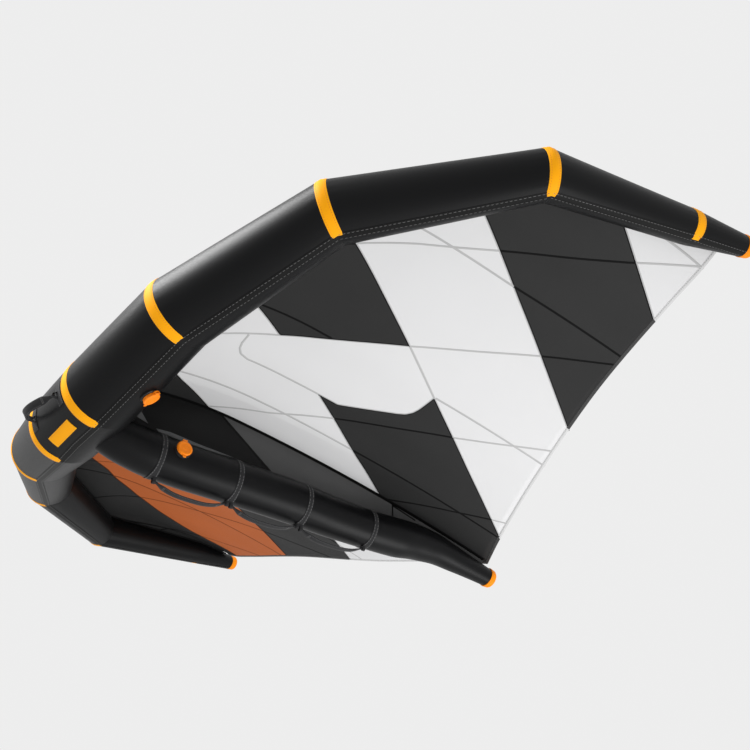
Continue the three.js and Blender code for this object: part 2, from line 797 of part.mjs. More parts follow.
// One valve in its own frame: +Z is out of the tube, the tube's axis runs along X at z = -radius.
function valveParts(radius) {
  const clear = 1.3; // the tube tapers under the flange
  const host = new THREE.CylinderGeometry(radius + clear, radius + clear, 120, 60);
  host.rotateZ(Math.PI / 2);
  host.rotateX(Math.PI / 60);
  host.translate(0, 0, -radius);

  const flange = union(cut(post(FLANGE_R, -7, FLANGE_TOP, 20), host), post(NECK_R, -NECK_LEN, 1));
  const base = cut(flange, post(BORE_R, -NECK_LEN - 1, FLANGE_TOP + 1));

  const earGap = 5;
  const hingeBore = post(HINGE_PIN_R + 0.5, -12, 12, 10);
  hingeBore.rotateX(Math.PI / 2);
  hingeBore.translate(-HINGE_OUT, 0, HINGE_UP);
  const ear = (sign) => {
    const inner = sign > 0 ? earGap + GAP : -earGap - GAP - 3;
    return block(-HINGE_OUT - EAR_HALF, -CAP_R - GAP, inner, inner + 3, 5, HINGE_UP + EAR_HALF);
  };
  const ring = union(
    post(COLLAR_R, FLANGE_TOP + GAP, COLLAR_TOP, 20),
    post(BORE_R - 0.7, -NECK_LEN + 7, FLANGE_TOP + 1),
    block(-HINGE_OUT - EAR_HALF, -COLLAR_R + 3, -9, 9, 5, 8),
    ear(1),
    ear(-1),
  );
  const collar = cut(ring, post(BORE_R - 2.6, -NECK_LEN, COLLAR_TOP + 1), hingeBore);

  const plungerTop = COLLAR_TOP - 3;
  const plunger = union(
    post(BORE_R - 1.0, -NECK_LEN + 4.6, -NECK_LEN + 6.4, 20),
    post(2, -NECK_LEN + 6, plungerTop, 12),
    post(5, plungerTop - 1.5, plungerTop, 12),
  );

  const low = COLLAR_TOP + GAP;
  const high = COLLAR_TOP + CAP_HEIGHT;
  const crown = turned([
    new THREE.Vector2(0, low),
    new THREE.Vector2(CAP_R, low),
    new THREE.Vector2(CAP_R, high - 3),
    new THREE.Vector2(CAP_R - 1.2, high - 1),
    new THREE.Vector2(CAP_R - 4, high),
    new THREE.Vector2(0, high),
  ], 20);
  const hingePin = post(HINGE_PIN_R, -8, 8, 10);
  hingePin.rotateX(Math.PI / 2);
  hingePin.translate(-HINGE_OUT, 0, HINGE_UP);
  const cap = union(
    crown,
    block(-HINGE_OUT - 2.4, -CAP_R + 4, -earGap, earGap, HINGE_UP - 2, HINGE_UP + 2),
    hingePin,
    block(CAP_R - 3, CAP_R + 9, -6, 6, low + 1, low + 4),
  );
  return { base, collar, plunger, cap };
}

for (const [name, { matrix, radius }, { turn }] of [
  ["le", leValveSeat, LE_VALVE],
  ["strut", strutValveSeat, STRUT_VALVE],
]) {
  const seatGroup = new THREE.Group();
  seatGroup.applyMatrix4(matrix);
  wing.add(seatGroup);
  const topGroup = new THREE.Group();
  topGroup.rotation.z = radians(turn);
  seatGroup.add(topGroup);
  const parts = valveParts(radius);
  place(`${name}_valve_flange`, "valve", parts.base, seatGroup);
  place(`${name}_valve_collar`, "cap", parts.collar, topGroup);
  place(`${name}_valve_plunger`, "plunger", parts.plunger, topGroup);
  place(`${name}_valve_cap`, "cap", parts.cap, topGroup);
}

// The origin goes to the middle handle's grip.
const grip = vec(
  0,
  (STRUT_RING_Y[1] + STRUT_RING_Y[2]) / 2,
  handleHingeZ(1) - HANDLE_SAG,
);
wing.position.copy(grip).negate();
const part = new THREE.Group();
part.add(wing);

export default part;
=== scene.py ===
"""Looks of the inflatable hand-held wing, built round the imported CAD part. Metres.

Shapes are laid out from the strut's centreline, under the axis of the leading edge's centre panel,
and moved so that the middle strut handle's grip is the origin. The nose points to -Y, the canopy
is up (+Z) and the left half is +X."""

import math

import bmesh
import bpy
import numpy as np
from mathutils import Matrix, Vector


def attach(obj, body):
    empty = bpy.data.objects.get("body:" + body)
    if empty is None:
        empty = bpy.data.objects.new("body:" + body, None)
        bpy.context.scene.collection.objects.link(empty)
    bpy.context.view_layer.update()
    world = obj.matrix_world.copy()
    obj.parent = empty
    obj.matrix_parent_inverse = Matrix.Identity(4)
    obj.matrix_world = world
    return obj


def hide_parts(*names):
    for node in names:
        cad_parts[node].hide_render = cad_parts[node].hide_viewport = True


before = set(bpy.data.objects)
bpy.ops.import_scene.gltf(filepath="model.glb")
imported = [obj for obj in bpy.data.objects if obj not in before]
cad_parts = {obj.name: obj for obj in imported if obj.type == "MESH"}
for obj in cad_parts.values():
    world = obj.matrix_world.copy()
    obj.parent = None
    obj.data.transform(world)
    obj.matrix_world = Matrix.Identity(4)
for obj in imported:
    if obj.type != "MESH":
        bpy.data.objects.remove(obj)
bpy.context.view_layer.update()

MM = 0.001
GRIP = np.array([0.0, 0.704, -0.123])  # the origin, in layout metres

# ------------------------------------------------------------------ driving sizes (mm)

# Leading-edge joints of the left half: x, y, z, tube radius.
LE_JOINTS = [
    (128, 0, 87, 130),
    (525, 56, 194, 122),
    (1046, 253, 328, 97),
    (1477, 671, 384, 76),
    (1551, 1219, 440, 56),
    (1594, 1457, 454, 33),
]
# Strut stations: y, z, radius.
STRUT = [
    (20, 55, 62),
    (66, 39, 69),
    (150, 19, 75),
    (262, 5, 79),
    (410, 0, 79),
    (558, 0, 79),
    (700, -1, 79),
    (850, -4, 79),
    (1000, -13, 76),
    (1150, -16, 74),
    (1300, -12, 75),
    (1400, -5, 69),
    (1480, -6, 62),
    (1600, -25, 51),
    (1700, -44, 42),
    (1790, -62, 35),
]
RINGS_Y = [262, 558, 850, 1150]
TRAILING_EDGE = [
    (0, 1790, 2),
    (150, 1724, 45),
    (500, 1588, 130),
    (930, 1478, 270),
    (1290, 1424, 378),
    (1450, 1412, 430),
    (1530, 1405, 462),
]
ATTACH_ANGLE = 75  # degrees round the tube where the canopy is sewn on
ATTACH_LIFT = 1.6
TIP_ATTACH = 0.62  # where the canopy ends, as a part of the last panel
CAMBER = 0.055
CAMBER_PEAK = 0.3

ROUND_SIDES = 96

# Canopy seams and panel borders, left half, in plan: (x, y) from front to back.
SEAM_A = [(735, 190), (800, 300), (1458, 1401)]
SEAM_A_RIGHT = [(690, 172), (800, 277), (928, 402), (1060, 545), (1171, 698), (1262, 860),
                (1335, 1020), (1398, 1200), (1452, 1402)]
SEAM_D = [(256, 45), (346, 241), (446, 458), (661, 846), (1045, 1462)]
SEAM_H = [(2, 402), (27, 447), (180, 720), (444, 1234), (640, 1550)]
SEAM_H_RIGHT = [(2, 458), (180, 720), (444, 1234), (640, 1550)]
SEAM_L = [(2, 1234), (114, 1439), (241, 1690)]
SEAM_M = [(1010, 236), (899, 428), (661, 843), (542, 1049), (149, 1726)]
SEAM_Q = [(1340, 452), (1203, 695), (1020, 1015), (738, 1522)]
SEAM_R = [(1500, 933), (1421, 1078), (1234, 1430)]
SEAM_P = [(302, 717), (2, 1230)]
SEAM_S = [(662, 72), (560, 254), (446, 458)]
SEAM_NOSE = [(262, 42), (160, 205), (2, 458)]
SEAM_ROUND = [(398, 367), (358, 366), (333, 372), (312, 388), (300, 421), (302, 717)]
FRONT_2 = [(302, 717), (302, 800), (398, 995), (415, 1022), (438, 1038), (463, 1045), (542, 1052)]
CHORD_SEAMS = [
    [(152, 36), (152, 215), (154, 667), (150, 985), (149, 1726)],
    [(531, 85), (534, 607)],
    [(543, 1056), (565, 1568)],
    [(1040, 300), (1047, 948), (1072, 1446)],
    [(1456, 690), (1458, 1412)],
]

# ------------------------------------------------------------------ leading-edge and strut shape


def unit(v):
    return v / np.linalg.norm(v)


joints = np.array(LE_JOINTS, float) * MM
chain = np.vstack([joints[::-1] * [-1, 1, 1, 1], joints])
centres, radii = chain[:, :3], chain[:, 3]
LAST = len(chain) - 1
MIDDLE = len(LE_JOINTS) - 1  # the centre panel runs from this joint to the next

joint_aft, joint_up = [], []
for i in range(len(chain)):
    along = unit(sum(unit(centres[k + 1] - centres[k]) for k in (i - 1, i) if 0 <= k < LAST))
    aft = unit(np.array([0, 1.0, 0]) - along * along[1])
    up = np.cross(along, aft)
    joint_aft.append(aft)
    joint_up.append(up if up[2] > 0 else -up)


def joint_point(i, degrees, extra=0.0):
    a = math.radians(degrees)
    r = radii[i] + extra
    return centres[i] + r * (math.cos(a) * joint_aft[i] + math.sin(a) * joint_up[i])


def panel_point(i, f, degrees, extra=0.0):
    """A point on leading-edge panel i, a fraction f along it; 0 deg is aft, 90 top, 180 front."""
    return joint_point(i, degrees, extra) * (1 - f) + joint_point(i + 1, degrees, extra) * f


def panel_length(i):
    return float(np.linalg.norm(centres[i + 1] - centres[i]))


def panel_axis(i, f):
    return centres[i] * (1 - f) + centres[i + 1] * f


def panel_radius(i, f):
    return radii[i] * (1 - f) + radii[i + 1] * f


def panel_normal(i, f, degrees):
    return unit(panel_point(i, f, degrees, 1.0) - panel_point(i, f, degrees))


strut = np.array(STRUT, float) * MM


def smooth_track(xs, ys, x):
    """Cubic through the stations with limited slopes, so it doesn't overshoot."""
    h = np.diff(xs)
    d = np.diff(ys) / h
    m = np.zeros(len(xs))
    for k in range(1, len(xs) - 1):
        if d[k - 1] * d[k] > 0:
            m[k] = 2 * d[k - 1] * d[k] / (d[k - 1] + d[k])
    m[0], m[-1] = d[0], d[-1]
    k = int(np.clip(np.searchsorted(xs, x) - 1, 0, len(xs) - 2))
    t = (x - xs[k]) / h[k]
    return (
        ys[k] * (1 + 2 * t) * (1 - t) ** 2
        + ys[k + 1] * t * t * (3 - 2 * t)
        + h[k] * (m[k] * t * (1 - t) ** 2 + m[k + 1] * t * t * (t - 1))
    )


def strut_at(y):
    return smooth_track(strut[:, 0], strut[:, 1], y), smooth_track(strut[:, 0], strut[:, 2], y)


def strut_point(y, degrees, extra=0.0):
    z, r = strut_at(y)
    a = math.radians(degrees)
    return np.array([(r + extra) * math.cos(a), y, z + (r + extra) * math.sin(a)])


# ------------------------------------------------------------------ canopy surface

front_edge = [panel_point(MIDDLE, 0.5, ATTACH_ANGLE, ATTACH_LIFT * MM)]
for i in range(MIDDLE + 1, LAST):
    front_edge.append(panel_point(i, 0, ATTACH_ANGLE, ATTACH_LIFT * MM))
front_edge.append(panel_point(LAST - 1, TIP_ATTACH, ATTACH_ANGLE, ATTACH_LIFT * MM))
front_edge = np.array(front_edge)
front_edge[0, 0] = 0.0
back_points = np.array(TRAILING_EDGE, float) * MM
STATIONS = len(front_edge) - 1


def spline(points, t):
    """Centripetal Catmull-Rom through the points, t from 0 to 1."""
    spans = len(points) - 1
    k = min(int(t * spans), spans - 1)
    w = t * spans - k
    p1, p2 = points[k], points[k + 1]
    p0 = points[k - 1] if k > 0 else 2 * p1 - p2
    p3 = points[k + 2] if k + 2 <= spans else 2 * p2 - p1
    d0, d1, d2 = (math.sqrt(np.linalg.norm(b - a)) for a, b in ((p0, p1), (p1, p2), (p2, p3)))
    m1 = ((p1 - p0) / d0 - (p2 - p0) / (d0 + d1) + (p2 - p1) / d1) * d1
    m2 = ((p2 - p1) / d1 - (p3 - p1) / (d1 + d2) + (p3 - p2) / d2) * d1
    return (
        p1
        + m1 * w
        + (-3 * p1 + 3 * p2 - 2 * m1 - m2) * w * w
        + (2 * p1 - 2 * p2 + m1 + m2) * w**3
    )


def camber(v):
    p = CAMBER_PEAK
    rise = (2 * p * v - v * v) / (p * p)
    fall = (1 - 2 * p + 2 * p * v - v * v) / (1 - p) ** 2
    return np.where(v < p, rise, fall)


def edges_at(s):
    k = min(int(s), STATIONS - 1)
    f = front_edge[k] * (1 - (s - k)) + front_edge[k + 1] * (s - k)
    return f, spline(back_points, s / STATIONS)


DENSE = np.linspace(0, STATIONS, 601)
dense_front = np.array([edges_at(s)[0] for s in DENSE])
dense_back = np.array([edges_at(s)[1] for s in DENSE])
dense_chord = np.linalg.norm(dense_back - dense_front, axis=1)
BILLOW = 3.0 * MM  # slack between the ribs of the canopy
RIBS = [0, 152, 340, 532, 790, 1047, 1250, 1456, 1600]


def billow(x, v):
    """The sheet's small slack between its chordwise seams, nothing at its edges."""
    x = np.abs(x) / MM
    k = np.clip(np.searchsorted(RIBS, x) - 1, 0, len(RIBS) - 2)
    ribs = np.array(RIBS, float)
    t = (x - ribs[k]) / (ribs[k + 1] - ribs[k])
    return BILLOW * np.sin(np.pi * t) ** 2 * np.sin(np.pi * np.clip(v, 0, 1)) ** 0.7


def canopy_rows(s, vs):
    f, b = edges_at(s)
    p = f + (b - f) * vs[:, None]
    p[:, 2] += CAMBER * np.linalg.norm(b - f) * camber(vs) + billow(p[:, 0], vs)
    return p


def on_canopy(x, y):
    """The canopy's point above (x, y) in plan, either half."""
    ax = np.atleast_1d(np.abs(np.asarray(x, float)))
    ay = np.atleast_1d(np.asarray(y, float))
    ax, ay = np.broadcast_arrays(ax, ay)
    side = np.where(np.atleast_1d(np.asarray(x, float)) < 0, -1.0, 1.0) * np.ones_like(ax)
    dx, dy = (dense_back - dense_front)[:, 0], (dense_back - dense_front)[:, 1]
    g = (ax[:, None] - dense_front[:, 0]) * dy - (ay[:, None] - dense_front[:, 1]) * dx
    k = np.clip((g > 0).sum(1) - 1, 0, len(DENSE) - 2)
    n = np.arange(len(ax))
    drop = g[n, k] - g[n, k + 1]
    w = np.clip(g[n, k] / np.where(np.abs(drop) < 1e-12, 1, drop), 0, 1)
    f = dense_front[k] * (1 - w[:, None]) + dense_front[k + 1] * w[:, None]
    b = dense_back[k] * (1 - w[:, None]) + dense_back[k + 1] * w[:, None]
    chord = dense_chord[k] * (1 - w) + dense_chord[k + 1] * w
    v = ((ax - f[:, 0]) * (b - f)[:, 0] + (ay - f[:, 1]) * (b - f)[:, 1]) / (
        (b - f)[:, 0] ** 2 + (b - f)[:, 1] ** 2
    )
    v = np.clip(v, 0, 1)
    p = f + (b - f) * v[:, None]
    p[:, 2] += CAMBER * chord * camber(v) + billow(p[:, 0], v)
    p[:, 0] *= side
    return p


def canopy_normals(points):
    e = 4 * MM
    x, y = points[:, 0], points[:, 1]
    zx = (on_canopy(x + e, y)[:, 2] - on_canopy(x - e, y)[:, 2]) / (2 * e)
    zy = (on_canopy(x, y + e)[:, 2] - on_canopy(x, y - e)[:, 2]) / (2 * e)
    n = np.stack([-zx, -zy, np.ones_like(zx)], 1)
    return n / np.linalg.norm(n, axis=1)[:, None]


# ------------------------------------------------------------------ mesh helpers

collection = bpy.context.scene.collection


def add_object(name, verts, faces, uvs, materials, face_materials=None, smooth=True):
    """A mesh piece from layout points; uvs has one pair per face corner, in metres."""
    mesh = bpy.data.meshes.new(name)
    points = np.asarray(verts, float).reshape(-1, 3) - GRIP
    mesh.from_pydata(points.tolist(), [], [list(f) for f in faces])
    layer = mesh.uv_layers.new(name="UVMap")
    layer.data.foreach_set("uv", np.asarray(uvs, np.float32).ravel())
    for m in materials:
        mesh.materials.append(m)
    if face_materials is not None:
        mesh.polygons.foreach_set("material_index", np.asarray(face_materials, np.int32))
    mesh.polygons.foreach_set("use_smooth", np.full(len(mesh.polygons), smooth))
    mesh.validate()
    mesh.update()
    obj = bpy.data.objects.new(name, mesh)
    collection.objects.link(obj)
    return obj


def tidy_normals(obj, angle=None):
    """Outward normals, and sharp edges above an angle."""
    bm = bmesh.new()
    bm.from_mesh(obj.data)
    bmesh.ops.recalc_face_normals(bm, faces=bm.faces)
    if angle is not None:
        for e in bm.edges:
            if len(e.link_faces) == 2 and e.calc_face_angle(0) > math.radians(angle):
                e.smooth = False
    bm.to_mesh(obj.data)
    bm.free()
    return obj


def place(obj, nodes=(), body="wing"):
    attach(obj, body)
    if nodes:
        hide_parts(*nodes)
    return obj


class Parts:
    """Collects several closed shapes into one mesh piece."""

    def __init__(self):
        self.verts, self.faces, self.uvs, self.mats, self.count = [], [], [], [], 0

    def add(self, verts, faces, uvs, mat=0):
        verts = np.asarray(verts, float).reshape(-1, 3)
        self.verts.append(verts)
        self.faces += [tuple(v + self.count for v in f) for f in faces]
        self.uvs += list(uvs)
        self.mats += [mat] * len(faces)
        self.count += len(verts)

    def face_centres(self):
        verts = np.vstack(self.verts)
        return [verts[list(f)].mean(0) for f in self.faces]

    def build(self, name, materials, nodes=(), slot=None, body="wing", angle=50, smooth=True):
        verts = np.vstack(self.verts)
        obj = add_object(name, verts, self.faces, self.uvs, materials, self.mats, smooth)
        return place(tidy_normals(obj, angle), nodes, body)


def lengths(points):
    points = np.asarray(points, float)
    return np.concatenate([[0], np.cumsum(np.linalg.norm(np.diff(points, axis=0), axis=1))])


def tangents(points):
    tangent = np.gradient(points, axis=0)
    return tangent / np.linalg.norm(tangent, axis=1)[:, None]


def smooth_step(t):
    return t * t * (3 - 2 * t)


def grid_faces(rows, cols, closed, us, vs, flip=False):
    """Quads of a grid of rows x cols points, and their corner coordinates. With closed, each row
    is a loop; us then has cols + 1 values."""
    faces, uvs = [], []
    for r in range(rows - 1):
        for c in range(cols if closed else cols - 1):
            d = (c + 1) % cols
            quad = [(r, c, c), (r, d, c + 1), (r + 1, d, c + 1), (r + 1, c, c)]
            if flip:
                quad = quad[::-1]
            faces.append(tuple(a * cols + b for a, b, _ in quad))
            uvs += [(us[k], vs[a]) for a, _, k in quad]
    return faces, uvs


def skin(parts, outer, inner):
    """A solid sheet between two grids of points of the same size."""
    outer, inner = np.asarray(outer, float), np.asarray(inner, float)
    rows, cols = outer.shape[:2]
    us, vs = lengths(outer[0]), lengths(outer[:, 0])
    top, top_uv = grid_faces(rows, cols, False, us, vs)
    low, low_uv = grid_faces(rows, cols, False, us, vs, flip=True)
    n = rows * cols
    faces = top + [tuple(v + n for v in f) for f in low]
    uvs = top_uv + low_uv
    last = (rows - 1) * cols
    for c in range(cols - 1):
        d = c + 1
        faces += [(c, c + n, d + n, d), (last + c, last + d, last + d + n, last + c + n)]
        uvs += [(us[c], vs[0]), (us[c], vs[0]), (us[d], vs[0]), (us[d], vs[0])]
        uvs += [(us[c], vs[-1]), (us[d], vs[-1]), (us[d], vs[-1]), (us[c], vs[-1])]
    for r in range(rows - 1):
        a, b = r * cols, (r + 1) * cols
        c, d = a + cols - 1, b + cols - 1
        faces += [(a, b, b + n, a + n), (c, c + n, d + n, d)]
        uvs += [(us[0], vs[r]), (us[0], vs[r + 1]), (us[0], vs[r + 1]), (us[0], vs[r])]
        uvs += [(us[-1], vs[r]), (us[-1], vs[r]), (us[-1], vs[r + 1]), (us[-1], vs[r + 1])]
    parts.add(np.concatenate([outer.reshape(-1, 3), inner.reshape(-1, 3)]), faces, uvs)


FLAT_SECTION = [(-0.5, 0.25), (-0.44, 0.5), (0.0, 0.5), (0.44, 0.5), (0.5, 0.25),
                (0.5, -0.25), (0.44, -0.5), (0.0, -0.5), (-0.44, -0.5), (-0.5, -0.25)]
ROUND_SECTION = [
    (0.5 * math.cos(a), 0.5 * math.sin(a)) for a in np.linspace(math.pi, -math.pi, 13)[:-1]
]


def strap(parts, points, sides, normals, width, thick, closed=False, section=FLAT_SECTION):
    """Sweeps a section along points. width and thick are numbers or one per point."""
    points, sides, normals = (np.asarray(a, float) for a in (points, sides, normals))
    n, m = len(points), len(section)
    width = np.broadcast_to(np.asarray(width, float), n)
    thick = np.broadcast_to(np.asarray(thick, float), n)
    rows = np.array([
        [points[k] + sides[k] * (a * width[k]) + normals[k] * (b * thick[k]) for a, b in section]
        for k in range(n)
    ])
    v = lengths(points)
    if closed:
        rows = np.vstack([rows, rows[:1]])
        v = np.append(v, v[-1] + np.linalg.norm(points[0] - points[-1]))
    us = np.array([a for a, _ in section] + [section[0][0]]) * float(np.max(width))
    faces, uvs = grid_faces(len(rows), m, True, us, v)
    verts = rows.reshape(-1, 3)
    if closed:
        last = n * m
        faces = [tuple(q - last if q >= last else q for q in f) for f in faces]
        verts = verts[:last]
    else:
        faces += [tuple(range(m)), tuple((n - 1) * m + c for c in range(m))[::-1]]
        uvs += [(us[c], v[0]) for c in range(m)] + [(us[c], v[-1]) for c in range(m)][::-1]
    parts.add(verts, faces, uvs)


def straight_strap(parts, points, side, normal, width, thick, section=FLAT_SECTION):
    """A strap whose side and normal are the same all along."""
    n = len(points)
    strap(parts, points, np.tile(side, (n, 1)), np.tile(normal, (n, 1)), width, thick, section=section)


def resample(points, step):
    """Points along a polyline at about the given spacing."""
    points = np.asarray(points, float)
    at = lengths(points)
    n = max(int(round(at[-1] / step)), 1) + 1
    t = np.linspace(0, at[-1], n)
    return np.stack([np.interp(t, at, points[:, k]) for k in range(points.shape[1])], 1)


def dashes(parts, points, normals, stitch, mat=1):
    """A row of raised stitches on a surface; stitch is length, gap, width and height in mm."""
    points, normals = np.asarray(points, float), np.asarray(normals, float)
    dash, gap, width, height = (v * MM for v in stitch)
    at = lengths(points)

    def look(t):
        p = np.array([np.interp(t, at, points[:, k]) for k in range(3)])
        n = np.array([np.interp(t, at, normals[:, k]) for k in range(3)])
        return p, unit(n)

    for k in range(int(at[-1] // (dash + gap))):
        start = k * (dash + gap) + gap / 2
        a = look(start)[0]
        b = look(start + dash)[0]
        mid, normal = look(start + dash / 2)
        side = unit(np.cross(normal, b - a)) * width / 2
        top = normal * height
        low = -normal * height * 0.5
        ends = 0.25 * (b - a)
        verts = [p + side * e * 0.6 + low for p, e in ((a, -1), (a, 1), (b, 1), (b, -1))]
        verts += [mid + ends * d + side * e + top for d, e in ((-1, -1), (-1, 1), (1, 1), (1, -1))]
        faces = [(3, 2, 1, 0), (4, 5, 6, 7), (0, 1, 5, 4), (1, 2, 6, 5), (2, 3, 7, 6), (3, 0, 4, 7)]
        parts.add(verts, faces, [(0, 0)] * 24, mat)


def lathe(parts, profile, matrix, sides=64, ribs=None, ring=False):
    """Turns (radius, height) points about +Z; ribs is (first row, last row, count, depth). With ring
    the profile closes on itself round a bore, else its two ends are closed by discs."""
    turns = np.linspace(0, 2 * math.pi, sides, endpoint=False)
    rows = []
    for k, (radius, h) in enumerate(profile):
        rs = np.full(sides, radius)
        if ribs and ribs[0] <= k <= ribs[1]:
            rs = radius - ribs[3] * (0.5 - 0.5 * np.cos(ribs[2] * turns)) ** 3
        rows.append(np.stack([rs * np.cos(turns), rs * np.sin(turns), np.full(sides, h)], 1))
    rows = np.array(rows)
    us = np.linspace(0, 2 * math.pi * max(r for r, _ in profile), sides + 1)
    vs = lengths([(r, h, 0) for r, h in profile])
    faces, uvs = grid_faces(len(rows), sides, True, us, vs)
    last = (len(rows) - 1) * sides
    if ring:
        back, _ = grid_faces(2, sides, True, us, [0, 1])
        faces += [tuple(q + last if q < sides else q - sides for q in f) for f in back]
        uvs += [(us[c], vs[-1]) for _ in back for c in (0, 1, 1, 0)]
    else:
        faces += [tuple(range(sides))[::-1], tuple(range(last, last + sides))]
        uvs += [tuple(p) for p in rows[0][::-1, :2]] + [tuple(p) for p in rows[-1][:, :2]]
    verts = np.concatenate([rows.reshape(-1, 3), np.ones((rows.size // 3, 1))], 1) @ matrix.T
    parts.add(verts[:, :3], faces, uvs)


# ------------------------------------------------------------------ materials

WAVE_PERIOD = 0.31416  # metres between the bands of a wave texture at scale 1


def node_material(name):
    m = bpy.data.materials.new(name)
    m.use_nodes = True
    nt = m.node_tree
    return m, nt, nt.nodes["Principled BSDF"]


def node(nt, kind, **settings):
    n = nt.nodes.new(kind)
    for key, value in settings.items():
        if key in n.inputs:
            n.inputs[key].default_value = value
        else:
            setattr(n, key, value)
    return n


def wave(nt, vector, period, axis):
    n = node(nt, "ShaderNodeTexWave", wave_type="BANDS", bands_direction=axis,
             Scale=WAVE_PERIOD / period)
    nt.links.new(vector, n.inputs["Vector"])
    return n.outputs["Color"]


def noise(nt, scale, detail, roughness=0.5):
    """Noise in the piece's own frame."""
    n = node(nt, "ShaderNodeTexNoise", Scale=scale, Detail=detail, Roughness=roughness)
    nt.links.new(node(nt, "ShaderNodeTexCoord").outputs["Object"], n.inputs["Vector"])
    return n.outputs["Fac"]


def math_node(nt, operation, a, b):
    n = node(nt, "ShaderNodeMath", operation=operation)
    for k, v in enumerate((a, b)):
        if isinstance(v, (int, float)):
            n.inputs[k].default_value = v
        else:
            nt.links.new(v, n.inputs[k])
    return n.outputs[0]


def mix_color(nt, factor, a, b):
    n = node(nt, "ShaderNodeMix", data_type="RGBA")
    for socket, v in ((n.inputs[0], factor), (n.inputs[6], a), (n.inputs[7], b)):
        if hasattr(v, "is_linked"):
            nt.links.new(v, socket)
        else:
            socket.default_value = v
    return n.outputs[2]


def scaled(color, factor, add=0.0):
    """A colour made lighter or darker, as RGBA."""
    return tuple(min(c * factor + add, 1) for c in color) + (1,)


def worn_edges(nt, tint, start, end, amount, color):
    """Mixes a colour in where the shape's edges stick out."""
    edge = node(nt, "ShaderNodeMapRange", **{"From Min": start, "From Max": end, "To Max": amount})
    pointiness = node(nt, "ShaderNodeNewGeometry").outputs["Pointiness"]
    nt.links.new(pointiness, edge.inputs["Value"])
    return mix_color(nt, edge.outputs["Result"], tint, color)


def vary_gloss(nt, bsdf, factor, low, high):
    gloss = node(nt, "ShaderNodeMapRange", **{"To Min": low, "To Max": high})
    nt.links.new(factor, gloss.inputs["Value"])
    nt.links.new(gloss.outputs["Result"], bsdf.inputs["Roughness"])


def add_bump(nt, bsdf, height, strength, distance):
    bump = node(nt, "ShaderNodeBump", Strength=strength, Distance=distance)
    nt.links.new(height, bump.inputs["Height"])
    nt.links.new(bump.outputs["Normal"], bsdf.inputs["Normal"])


def cloth(name, color, rough, period, ripstop=None, sheen=0.0, spec=0.35, tone=0.10, depth=0.25,
          wear=0.0):
    """Woven fabric: two crossed thread waves, an optional ripstop grid, cloudy tone and wear. The
    threads' period and the grid's are in mm."""
    m, nt, bsdf = node_material(name)
    uv = node(nt, "ShaderNodeTexCoord").outputs["UV"]
    weave = math_node(nt, "MULTIPLY", *(wave(nt, uv, period * MM, axis) for axis in "XY"))
    height = math_node(nt, "MULTIPLY", weave, 0.5)
    shade = scaled(color, 1 - 1.2 * tone)
    tint = mix_color(nt, noise(nt, 5.0, 5.0, 0.6), scaled(color, 1 - tone), scaled(color, 1 + tone))
    tint = mix_color(nt, math_node(nt, "MULTIPLY", weave, 0.35), tint, shade)
    if ripstop:
        waves = [wave(nt, uv, ripstop * MM, axis) for axis in "XY"]
        grid = math_node(nt, "MAXIMUM", *(math_node(nt, "GREATER_THAN", w, 0.97) for w in waves))
        height = math_node(nt, "ADD", height, math_node(nt, "MULTIPLY", grid, 0.8))
        tint = mix_color(nt, math_node(nt, "MULTIPLY", grid, 0.3), tint, shade)
    if wear:
        tint = worn_edges(nt, tint, 0.52, 0.62, wear, scaled(color, 2.2, 0.02))
    nt.links.new(tint, bsdf.inputs["Base Color"])
    vary_gloss(nt, bsdf, noise(nt, 160.0, 3.0), max(rough - 0.06, 0.05), min(rough + 0.06, 1))
    add_bump(nt, bsdf, height, depth, 0.4 * MM)
    bsdf.inputs["Specular IOR Level"].default_value = spec
    bsdf.inputs["Sheen Weight"].default_value = sheen
    bsdf.inputs["Sheen Roughness"].default_value = 0.5
    return m


def moulded(name, color, rough, spec=0.5, tone=0.06):
    """Moulded plastic: fine grain, cloudy gloss and lighter worn edges."""
    m, nt, bsdf = node_material(name)
    cloud = noise(nt, 40.0, 3.0)
    tint = mix_color(nt, cloud, scaled(color, 1 - tone), scaled(color, 1 + tone))
    tint = worn_edges(nt, tint, 0.53, 0.65, 0.5, scaled(color, 1.3, 0.03))
    nt.links.new(tint, bsdf.inputs["Base Color"])
    vary_gloss(nt, bsdf, cloud, rough - 0.08, rough + 0.08)
    add_bump(nt, bsdf, noise(nt, 900.0, 2.0), 0.12, 0.2 * MM)
    bsdf.inputs["Specular IOR Level"].default_value = spec
    return m


def film(name, color):
    """Clear grey bladder film."""
    m, nt, bsdf = node_material(name)
    crease = noise(nt, 14.0, 6.0, 0.7)
    tint = mix_color(nt, crease, scaled(color, 0.85), scaled(color, 1))
    nt.links.new(tint, bsdf.inputs["Base Color"])
    add_bump(nt, bsdf, crease, 0.3, 2 * MM)
    bsdf.inputs["Roughness"].default_value = 0.3
    bsdf.inputs["Transmission Weight"].default_value = 0.25
    return m


def panel_cloth(name, color, rough, spec, period=1.2, tone=0.10):
    """Ripstop cloth of the canopy and the fin."""
    return cloth(name, color, rough, period, ripstop=6, tone=tone, spec=spec)


